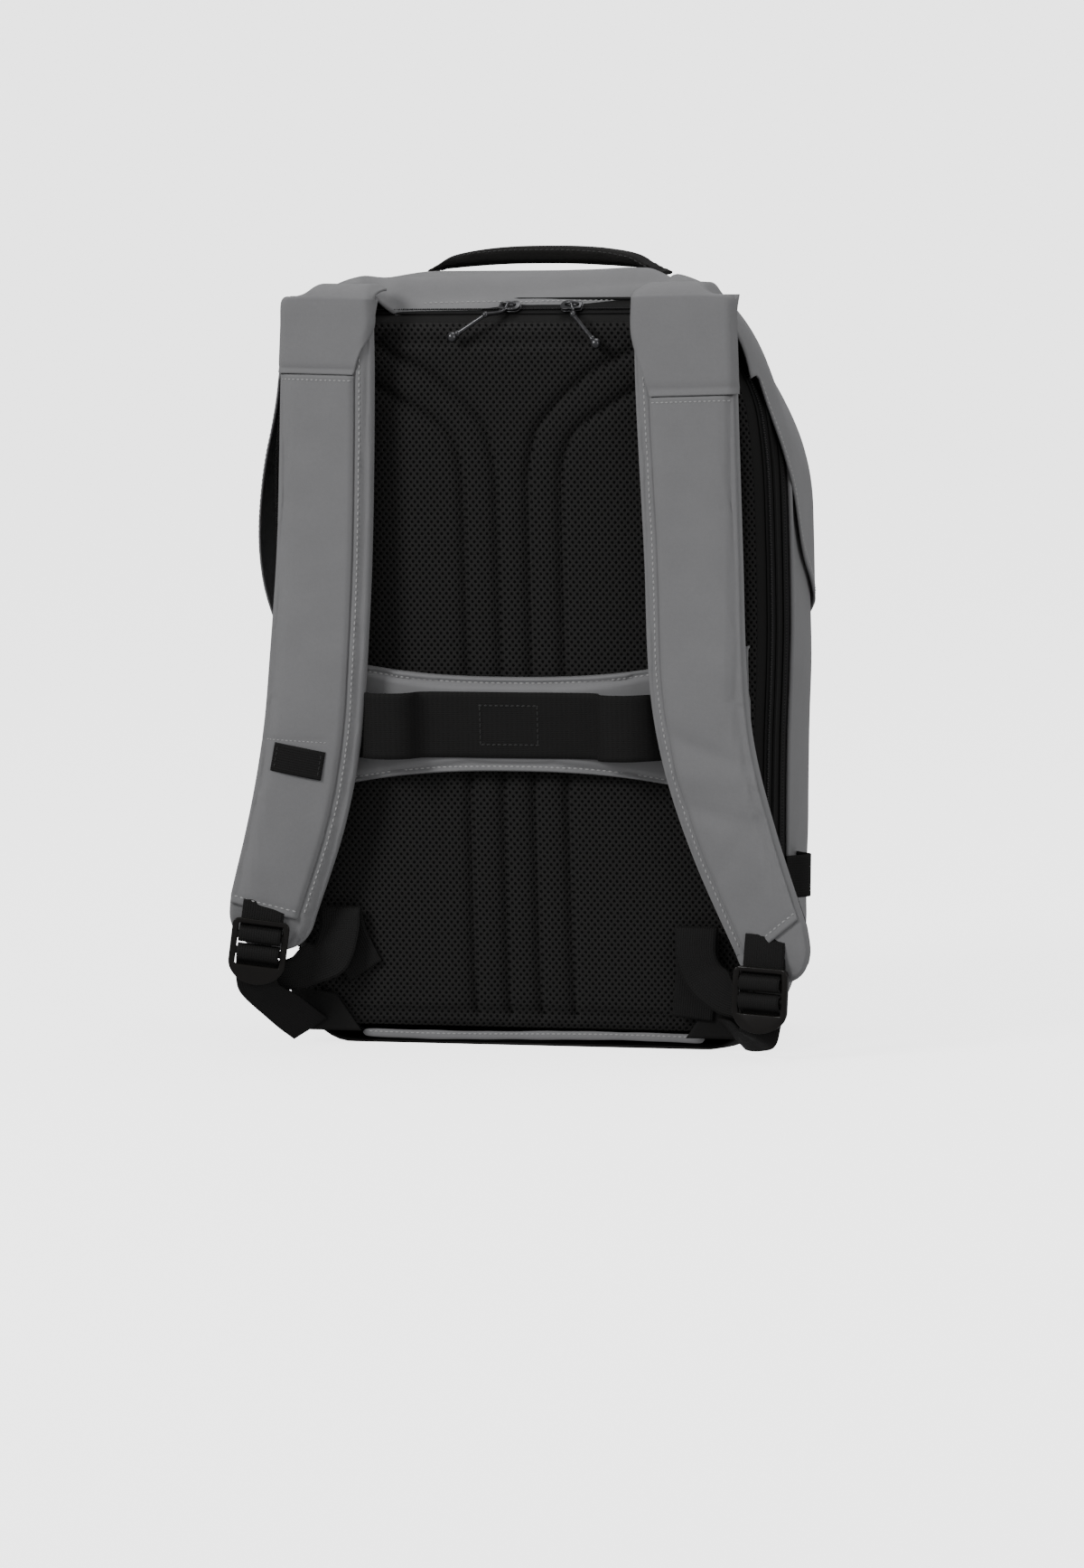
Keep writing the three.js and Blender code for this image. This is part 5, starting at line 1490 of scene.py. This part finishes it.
def yoke_place(side):
    seam = drop_at(side, YOKE_SEAM[side] + 0.3)
    corner_top = section(0)[4] + COVER_LIFT
    turns = [(0.05, 0.4), (0.24, 0.83), (0.6, 1), (1, 1)]

    def place(u, v):
        lift = LINING + 1.04 * PAD + 0.9
        row = []
        for i in range(4):
            inner = mix(cover_edge(side, seam), -1.03, ease(0, 2.2, i))
            across = mix(inner, 1.03, u)
            wrapped = 5.5 * ease(0.9, 1.06, abs(across)) * (1 if across > 0 else ease(0, 2.2, i))
            row.append(on_strap(strap_frame(side, mix(seam, 0, i / 3)), across, lift - wrapped))
        upper = row[-1] * 1000
        dropped = 10 * ease(0.62, 1.02, u) ** 1.5 + 3 * ease(0.12, 0, u)
        for back, rise in turns:
            level = corner_top - dropped * ease(0.1, 0.8, rise)
            x = upper.x - side * 11 * rise * ease(0.55, 1, u)
            y = mix(upper.y, YOKE_WALL - DEPTH / 2, back)
            row.append(Vector((x, y, mix(upper.z, level, rise))) / 1000)
        point = curve_through(row, v)
        creases = 1.0 * ripple(point, 48, 4.0 * side) + 0.35 * ripple(point, 20, side)
        seam_dent = 0.8 * math.exp(-(((v * 70) - 3) / 1.2) ** 2)
        fold = (creases * ease(0, 0.2, v) - seam_dent) * (1 - ease(0.85, 1, v))
        swell = 1.2 * math.sin(math.pi * u) * ease(0.2, 0.5, v) * (1 - ease(0.8, 1, v))
        on_top = ease(0.4, 0.7, v)
        raised = Vector((0, -0.55, 0.83)) * (fold + swell) * on_top
        return point + (raised + Vector((0, -1, 0)) * fold * (1 - on_top)) / 1000

    return place


for side, label in ((-1, "left"), (1, "right")):
    place = yoke_place(side)
    piece = make_piece(
        "yoke_cloth_" + label,
        turn_out(lay_cloth(44, 90, place, (56, 130))),
        grey_fabric,
        ["yoke_" + label],
    )
    thicken(piece, 1.4, 1)
    seam = [surface_at(strap_cover_place(side), mix(0.03, 0.97, i / 60), 0.009) for i in range(61)]
    line = [(point + out * 0.0008, out) for point, out in seam]
    sew("yoke_stitches_" + label, [line], thick=0.42, pitch=2.9, length=2.0)

# %% [markdown]
# A short patch of webbing is sewn on the left strap below its cross seam.

# %% Webbing patch
PATCH_HEIGHT, PATCH_ACROSS, PATCH_LENGTH, PATCH_WIDTH = 171, 0.16, 31, 17
frame_there = strap_frame(-1, drop_at(-1, PATCH_HEIGHT))
lift = LINING + 1.04 * PAD + 3.6
reach = PATCH_LENGTH / frame_there[4]
ends = [on_strap(frame_there, PATCH_ACROSS + side * reach, lift) for side in (-1, -0.4, 0.4, 1)]
ends[0] -= frame_there[3] * 0.0006
ends[3] -= frame_there[3] * 0.0009
patch, patch_place = strip(
    "webbing_patch", ends, [frame_there[1]] * 4, PATCH_WIDTH, 1.5, black_webbing,
    ["strap_patch_left"], step=1.2,
)
patch_lines = [[surface_at(patch_place, mix(0.1, 0.9, i / 12), v) for i in range(13)] for v in (0.07, 0.93)]
patch_lines = [[(point + out * 0.0008, out) for point, out in line] for line in patch_lines]
sew("patch_stitches", patch_lines, material=dark_thread, slot="black_webbing", thick=0.4)

# %% [markdown]
# The handle is a padded strip of black nylon over the crown. It rises from flat sewn feet, and its
# two long edges are pressed flat by stitches.

# %% Carry handle
HANDLE_SPAN, HANDLE_WIDTH, HANDLE_THICK, HANDLE_RISE, HANDLE_DEPTH = 152, 26, 9, 3.6, 62
handle_edge = HANDLE_DEPTH - HANDLE_WIDTH / 2
HANDLE_FOOT = section(handle_edge)[4] + cover_gap(handle_edge) + 1.8 + 0.3
# along, rise, thickness, width
HANDLE_PATH = flowing([
    (0, 1, 1, 1), (0.24, 0.94, 1, 1), (0.5, 0.68, 0.94, 1), (0.74, 0.25, 0.72, 0.97),
    (0.86, -0.3, 0.34, 0.92), (1, -1.3, 0.24, 0.84),
])


def handle_start(u, v):
    along = 2 * v - 1
    rise, thick, width = HANDLE_PATH(abs(along))
    across, up_share = pad_section(2 * math.pi * u, 0.5)
    z = HANDLE_FOOT + rise * HANDLE_RISE + up_share * thick * HANDLE_THICK
    return metres(along * HANDLE_SPAN / 2, HANDLE_DEPTH + across * width * HANDLE_WIDTH / 2, z)


handle_blank = close_ends(lay_cloth(24, 70, handle_start, tube=True))
handle_form = blown(handle_blank, voxel=2.6, pressure=3.5, cap=1.0, frames=10)


def handle_place(u, v):
    along = 2 * v - 1
    rise, thick, width = HANDLE_PATH(abs(along))
    inside = metres(
        along * HANDLE_SPAN / 2,
        HANDLE_DEPTH + 0.8 * pad_section(2 * math.pi * u, 0.5)[0] * width * HANDLE_WIDTH / 2,
        HANDLE_FOOT + rise * HANDLE_RISE + 0.5 * thick * HANDLE_THICK,
    )
    start = handle_start(u, v)
    if abs(along) > 0.97:
        return start
    hit = settle(handle_form, inside, start)
    most = (start - inside).length + 0.0008
    point = inside + (hit - inside) * min(1, most / max((hit - inside).length, 1e-9))
    across = pad_section(2 * math.pi * u, 0.5)[0]
    seam = 0.6 * math.exp(-((abs(across) - 0.78) / 0.06) ** 2)
    return point + Vector((0, 0, -seam * math.sin(2 * math.pi * u) / 1000))


handle_bm = close_ends(lay_cloth(56, 150, handle_place, (60, 170), tube=True))
handle = make_piece("handle_pad", handle_bm, handle_nylon, ["top_handle"])
handle_seams = []
for angle in (0.105, 0.395):
    handle_seams.append([surface_at(handle_place, angle, mix(0.06, 0.94, i / 90)) for i in range(91)])
handle_seams = [[(point, Vector((0, 0, 1))) for point, out in line] for line in handle_seams]
sew("handle_stitches", handle_seams, material=dark_thread, slot="black_fabric", thick=0.42)

# %% [markdown]
# The ladder-lock buckle is moulded in one: a plate with two bars across its window and a lip to lift.
# Its outline is extruded, three slots are cut out of it, and all its edges are rounded. The lip curls
# forward and the side rails stand a little proud.

# %% Buckles
BUCKLE_WIDTH, BUCKLE_TOP, BUCKLE_LIP, BUCKLE_THICK = 34, 18.5, 20, 3
BUCKLE_DROP = {-1: 26, 1: 34}
BUCKLE_SHIFT = {-1: 5, 1: 2.5}
BUCKLE_LIFT = LINING + PAD + 7
BUCKLE_TURN = {-1: 0, 1: -14}


def buckle_frame(side):
    frame = hang_frame(side, BUCKLE_LEAN[side])
    at = on_strap(frame, 0, BUCKLE_LIFT)
    at += frame[1] * (BUCKLE_DROP[side] / 1000) + frame[2] * (BUCKLE_SHIFT[side] / 1000)
    turned = math.radians(BUCKLE_TURN[side])
    across = frame[2] * math.cos(turned) + frame[3] * math.sin(turned)
    return at, across, -frame[1], frame[3] * math.cos(turned) - frame[2] * math.sin(turned)


def on_buckle(frame, across, rise, out):
    at, side_way, upward, outward = frame
    return at + (side_way * across + upward * rise + outward * out) / 1000


def plate(outline, thickness):
    """A flat body from a closed outline of [x, y] in millimetres, its middle plane at 0."""
    bm = bmesh.new()
    corners = [bm.verts.new((x, y, -thickness / 2)) for x, y in outline]
    low = bm.faces.new(corners)
    made = bmesh.ops.extrude_face_region(bm, geom=[low])
    raised = [item for item in made["geom"] if isinstance(item, bmesh.types.BMVert)]
    bmesh.ops.translate(bm, verts=raised, vec=(0, 0, thickness))
    bmesh.ops.recalc_face_normals(bm, faces=bm.faces)
    return bm


def body_of_buckle():
    half, corner = BUCKLE_WIDTH / 2, 4.2
    outline = []
    for i in range(9):
        angle = math.pi - QUARTER * i / 8
        outline.append((-half + corner + corner * math.cos(angle), BUCKLE_TOP - corner + corner * math.sin(angle)))
    for i in range(9):
        angle = QUARTER - QUARTER * i / 8
        outline.append((half - corner + corner * math.cos(angle), BUCKLE_TOP - corner + corner * math.sin(angle)))
    for i in range(29):
        angle = -math.pi * i / 28
        outline.append((half * math.cos(angle), -BUCKLE_LIP / 3 + 2 * BUCKLE_LIP / 3 * math.sin(angle)))
    return plate(outline, BUCKLE_THICK)


def carve(bm, slots):
    """Cuts boxes out of a bmesh, by the boolean modifier, and gives the mesh back."""
    meshes = []
    for name, source in (("carved", bm), ("cutter", slots)):
        mesh = bpy.data.meshes.new(name)
        source.to_mesh(mesh)
        source.free()
        meshes.append(mesh)
    body, cutter = (bpy.data.objects.new(mesh.name, mesh) for mesh in meshes)
    for piece in (body, cutter):
        bpy.context.scene.collection.objects.link(piece)
    cut = body.modifiers.new("cut", "BOOLEAN")
    cut.operation = "DIFFERENCE"
    cut.object = cutter
    carved = bmesh.new()
    carved.from_object(body, bpy.context.evaluated_depsgraph_get())
    for piece in (body, cutter):
        bpy.data.objects.remove(piece)
    for mesh in meshes:
        bpy.data.meshes.remove(mesh)
    return carved


def slot_boxes():
    boxes = bmesh.new()
    for low, high in ((-9, -2.8), (1.2, 6.6), (10.6, 15.6)):
        size = Matrix.Diagonal((26.4, high - low, 12, 1))
        bmesh.ops.create_cube(boxes, size=1, matrix=Matrix.Translation((0, (low + high) / 2, 0)) @ size)
    return boxes


for side, label in ((-1, "left"), (1, "right")):
    frame = buckle_frame(side)
    bm = carve(body_of_buckle(), slot_boxes())
    sharp = [edge for edge in bm.edges if len(edge.link_faces) == 2 and edge.calc_face_angle() > math.radians(50)]
    bmesh.ops.bevel(bm, geom=sharp, offset=0.7, segments=3, profile=0.5, affect="EDGES", material=-1)
    long_edges = [edge for edge in bm.edges if edge.calc_length() > 5]
    bmesh.ops.subdivide_edges(bm, edges=long_edges, cuts=5, use_grid_fill=True)
    for vert in bm.verts:
        x, y, z = vert.co
        lip = 1.9 * clamp((-y - 9) / 11) ** 2
        rails = 0.5 * ease(13.5, 15.5, abs(x)) * math.copysign(1, z) * ease(-12, -6, y)
        bars = 0.35 * math.cos(math.pi * clamp(x / 26)) * (1 - ease(12, 13.5, abs(x)))
        vert.co = on_buckle(frame, side * x, y, z + lip + rails + bars * (1 if z > 0 else 0))
    bmesh.ops.recalc_face_normals(bm, faces=bm.faces)
    make_piece("ladder_lock_" + label, bm, buckle_plastic, ["buckle_" + label])

# %% [markdown]
# Two webbings meet at each buckle. One is sewn to the strap's underside and holds the upper bar. The
# other comes up from the bag's lower corner, goes over the lower bar and hangs down behind as a tail,
# with its end folded back.

# %% Buckle webbing
WEBBING, WEBBING_THICK = 25, 1.3
HANGER = [(15, -2.9), (13, 0), (12, 2.3), (8.6, 3.1), (5.8, 2.3), (5, 0), (5.2, -2.6), (8, -5.4)]
ADJUSTER = [
    (-24, -7), (-18, -4.4), (-13, -3.4), (-8.4, -2.8), (-5.9, 0), (-4.8, 2.2), (-1, 3.1), (1.7, 2.2), (2.5, 0),
    (2.6, -2.6), (0, -6.2), (-6, -9),
]
ANCHOR = {-1: (134, 9, 31), 1: (131, 11.5, 46)}
TAIL = {
    -1: [
        (146, -33, 47, 34), (137, -28, 46, 72), (126, -24, 50, 108), (116, -21, 54, 145), (111, -18, 70, 180),
        (111, -16.4, 79, 180), (111, -14, 82.5, 180), (111, -12, 78, 180), (109, -11.2, 67, 192),
        (104, -11, 55, 205), (98, -10.9, 44, 211),
    ],
    1: [
        (150, -31, 30.5, 38), (140, -26, 34, 72), (128, -21, 38, 112), (117, -17, 46, 150),
        (112, -16.4, 58, 180), (112, -15.6, 70, 180), (112, -13.6, 74.5, 180), (112, -11.8, 70, 180),
        (111, -11.2, 56, 184), (109, -11, 38, 186), (107, -10.9, 20, 186),
    ],
}
TAB_THICK = 1.6
TAB_CORNERS = [(102, 8), (138, 8), (118, 30), (147, 34)]
TAB_FRONT = -0.3 - PANEL_RIM - PANEL_CROWN - 0.3 - TAB_THICK


def lay_webbing(name, places, directions, stands_for, step):
    """A strip of the bag's 25 mm webbing."""
    strip(name, places, directions, WEBBING, WEBBING_THICK, black_webbing, [stands_for], step)


def webbing_across(side, turn):
    angle = math.radians(turn)
    return Vector((side * math.cos(angle), 0, -math.sin(angle)))


for side, label in ((-1, "left"), (1, "right")):
    frame = buckle_frame(side)
    hem = BUCKLE_DROP[side]
    stops = [(hem + 3, -5.3), (hem - 3, -4.3), (17, -3.1), *HANGER, (hem - 8, -6.3)]
    places = [on_buckle(frame, 0, rise, out) for rise, out in stops]
    lay_webbing("hanger_" + label, places, [frame[1]] * len(places), "buckle_webbing_" + label, 0.9)
    passing = [on_buckle(frame, -4 * ease(-15, -24, rise), rise, out) for rise, out in ADJUSTER]
    anchor_x, anchor_z, anchor_turn = ANCHOR[side]
    lying = TAB_FRONT - 0.3 - WEBBING_THICK / 2
    sewn = metres(side * anchor_x, lying, anchor_z)
    across = webbing_across(side, anchor_turn)
    near = sewn.lerp(passing[0], 0.3)
    near.y -= 0.001
    places = [sewn, near, sewn.lerp(passing[0], 0.62), *passing]
    directions = [across, across, across.lerp(frame[1], 0.15), across.lerp(frame[1], 0.6)]
    directions += [frame[1]] * (len(passing) - 1)
    places += [metres(side * x, y, z) for x, y, z, turn in TAIL[side]]
    directions += [webbing_across(side, turn) for x, y, z, turn in TAIL[side]]
    lay_webbing("adjuster_" + label, places, directions, "adjuster_webbing_" + label, 1.5)

    def tab_place(u, v, side=side):
        corners = [metres(side * x, TAB_FRONT + TAB_THICK, z) for x, z in TAB_CORNERS]
        return corners[0].lerp(corners[1], u).lerp(corners[2].lerp(corners[3], u), v)

    tab = make_piece(
        "corner_tab_" + label,
        turn_out(lay_cloth(12, 12, tab_place, (36, 26))),
        black_nylon,
        ["anchor_tab_" + label],
    )
    thicken(tab, TAB_THICK * 0.9, 1)

# %% [markdown]
# A short loop of webbing on the right side carries a hook or a light.

# %% Side loop
LOOP_HEIGHT, LOOP_SPAN, LOOP_STAND = 99, 26, 11
loop_places = []
for share in (-0.5, -0.36, -0.18, 0, 0.18, 0.36, 0.5):
    depth = GUSSET + 8 + share * LOOP_SPAN
    stand = drawn_in(section(depth)[0], LOOP_HEIGHT) + 0.9 + WEBBING_THICK / 2
    loop_places.append(metres(stand + LOOP_STAND * hump(share * 1.9), depth, LOOP_HEIGHT))
tilted = [Vector((0, 0.12, 1)).normalized()] * len(loop_places)
lay_webbing("side_loop", loop_places, tilted, "side_loop_right", 0.9)
print("webbing laid")

# %% [markdown]
# The sliders are small castings: two plates with a bridge over them. Each has a pull of two rods that
# meet in a ring, with a ball at its end.

# %% Zip sliders and pulls
SLIDER_LENGTH, SLIDER_WIDTH, SLIDER_HEIGHT = 12, 8, 3.2
BRIDGE = [(-3.6, 2.6), (-3.2, 4), (0, 4.7), (3.2, 4), (3.6, 2.6)]
zip_low, zip_high = section(MAIN_ZIP), section(MAIN_ZIP + ZIP_WIDTH)
slope = Vector((0, ZIP_WIDTH, zip_high[1] - zip_low[1])).normalized()
zip_out = Vector((0, -slope.z, slope.y))
zip_middle = metres(0, MAIN_ZIP + ZIP_WIDTH / 2, (zip_low[1] + zip_high[1]) / 2)


def slider_outline():
    half = SLIDER_WIDTH / 2
    outline = [(-SLIDER_LENGTH / 2, -0.7 * half), (0.1 * SLIDER_LENGTH, -half)]
    for i in range(13):
        angle = -QUARTER + math.pi * i / 12
        outline.append((SLIDER_LENGTH / 2 - 0.6 * half + 0.9 * half * math.cos(angle), half * math.sin(angle)))
    return outline + [(-SLIDER_LENGTH / 2, 0.7 * half)]


def tube_along(places, radii):
    """A round rod through some places, with a radius in millimetres at each."""
    rows = 14 * (len(places) - 1)
    side_start = Vector((0.2, 1, 0.3)).normalized()

    def place(u, v):
        here = curve_through(places, v)
        along = (curve_through(places, min(v + 0.01, 1)) - curve_through(places, max(v - 0.01, 0))).normalized()
        first = along.cross(side_start).normalized()
        second = along.cross(first)
        way = v * (len(places) - 1)
        i = min(int(way), len(places) - 2)
        radius = mix(radii[i], radii[i + 1], way - i) / 1000
        angle = 2 * math.pi * u
        return here + (first * math.cos(angle) + second * math.sin(angle)) * radius

    return close_ends(lay_cloth(12, rows, place, (10, 40), tube=True))


for label, slider_x, facing, reach, drop in (("left", -3.5, 1, -29, 14), ("right", 36, -1, 21, 18)):
    bm = plate(slider_outline(), 1.0)
    bmesh.ops.translate(bm, verts=bm.verts, vec=(0, 0, 2.3))
    lower = plate(slider_outline(), 0.8)
    bmesh.ops.translate(lower, verts=lower.verts, vec=(0, 0, 0.5))
    join(bm, lower)
    wedge = bmesh.new()
    wedge_place = Matrix.Translation((2.5, 0, 1.4)) @ Matrix.Diagonal((4, 1.6, 2, 1))
    bmesh.ops.create_cube(wedge, size=1, matrix=wedge_place)
    join(bm, wedge)
    join(bm, tube_along([Vector((x, 0, z)) for x, z in BRIDGE], [900, 850, 800, 850, 900]))
    sharp = [edge for edge in bm.edges if len(edge.link_faces) == 2 and edge.calc_face_angle() > math.radians(60)]
    bmesh.ops.bevel(bm, geom=sharp, offset=0.22, segments=2, profile=0.5, affect="EDGES", material=-1)
    lift = zip_middle + Vector((slider_x / 1000, 0, 0)) + zip_out * 0.0018
    turn = Matrix((Vector((facing, 0, 0)), slope * facing, zip_out)).transposed().to_4x4()
    bmesh.ops.transform(bm, matrix=Matrix.Translation(lift) @ turn @ Matrix.Scale(0.001, 4), verts=bm.verts)
    bmesh.ops.recalc_face_normals(bm, faces=bm.faces)
    make_piece("slider_" + label, bm, gunmetal, ["zip_slider_" + label])

    clear = 0.82 * SLIDER_WIDTH / 2 + 1.7 + 0.3
    knuckle = zip_middle + Vector(((slider_x + 0.1 * reach) / 1000, 0, 0)) - slope * (clear / 1000)
    knuckle += zip_out * ((0.5 + 0.3 + 1 + 0.6 * SLIDER_HEIGHT) / 1000)
    panel_there = panel_front(0, BAND_CENTRE)
    elbow = metres(slider_x + 0.3 * reach, panel_there - 1.4, knuckle.z * 1000 - 1)
    ball = metres(slider_x + reach, panel_there - 3.6, knuckle.z * 1000 - drop)
    hook = lift + zip_out * 0.0042
    bm = tube_along([hook, knuckle, elbow], [0.9, 1.1, 1.3])
    near_ball = elbow.lerp(ball, 0.88)
    join(bm, tube_along([elbow, elbow.lerp(ball, 0.1), near_ball], [1.5, 1.15, 1.35]))
    for at, radius in ((elbow, 1.9), (ball, 3.2), (elbow.lerp(ball, 0.84), 1.9)):
        spot = Matrix.Translation(at)
        bmesh.ops.create_uvsphere(bm, u_segments=20, v_segments=14, radius=radius / 1000, matrix=spot)
    make_piece("pull_" + label, bm, gunmetal, ["zip_pull_" + label])

# %% [markdown]
# The studio is a pale floor that curves up to a pale wall, a large soft light on each side and one
# above, and a dim even sky. The floor glows, as a lit paper sweep does, but it is hidden from diffuse
# and glossy rays, so that it doesn't wash out the black cloth from below.

# %% Studio
def studio_floor(u, v):
    x = (u - 0.5) * 24
    way = v * 16 - 4
    bend = 3.0
    if way < 5:
        return Vector((x, way, 0))
    angle = min((way - 5) / bend, QUARTER)
    past = max(way - 5 - bend * QUARTER, 0)
    return Vector((x, 5 + bend * math.sin(angle), bend * (1 - math.cos(angle)) + past))


floor_paint = Paint("studio_floor")
floor_where, floor_x, floor_y, floor_z = floor_paint.place()
floor_tone = floor_paint.shade((0.86, 0.86, 0.86), (0.88, 0.88, 0.88), floor_paint.clouds(floor_where, 0.002))
studio_grey = floor_paint.finish(floor_tone, 0.9)
floor_shader = next(node for node in floor_paint.tree.nodes if node.type == "BSDF_PRINCIPLED")
floor_shader.inputs["Emission Color"].default_value = (1, 1, 1, 1)
floor_shader.inputs["Emission Strength"].default_value = 2.6
floor_mesh = bpy.data.meshes.new("studio_floor")
floor_bm = lay_cloth(4, 120, studio_floor)
bmesh.ops.recalc_face_normals(floor_bm, faces=floor_bm.faces)
floor_bm.to_mesh(floor_mesh)
floor_bm.free()
floor_mesh.materials.append(studio_grey)
floor_mesh.polygons.foreach_set("use_smooth", [True] * len(floor_mesh.polygons))
floor = bpy.data.objects.new("studio_floor", floor_mesh)
bpy.context.scene.collection.objects.link(floor)
floor.visible_diffuse = False
floor.visible_glossy = False

for name, place, target, size, power in (
    ("key", (-1.7, -2.3, 2.0), (0, 0, 0.25), 1.2, 58),
    ("fill", (2.6, -1.6, 1.2), (0, 0, 0.2), 1.8, 22),
    ("top", (0.2, 0.4, 2.6), (0, 0, 0.3), 1.6, 20),
):
    lamp_data = bpy.data.lights.new(name, "AREA")
    lamp_data.shape = "DISK"
    lamp_data.size = size
    lamp_data.energy = power
    lamp = bpy.data.objects.new(name, lamp_data)
    way = Vector(target) - Vector(place)
    lamp.matrix_world = Matrix.Translation(Vector(place)) @ way.to_track_quat("-Z", "Y").to_matrix().to_4x4()
    bpy.context.scene.collection.objects.link(lamp)

world = bpy.data.worlds.new("studio")
world.use_nodes = True
world.node_tree.nodes["Background"].inputs["Color"].default_value = (0.9, 0.9, 0.91, 1)
world.node_tree.nodes["Background"].inputs["Strength"].default_value = 0.46
bpy.context.scene.world = world
print("studio lit")
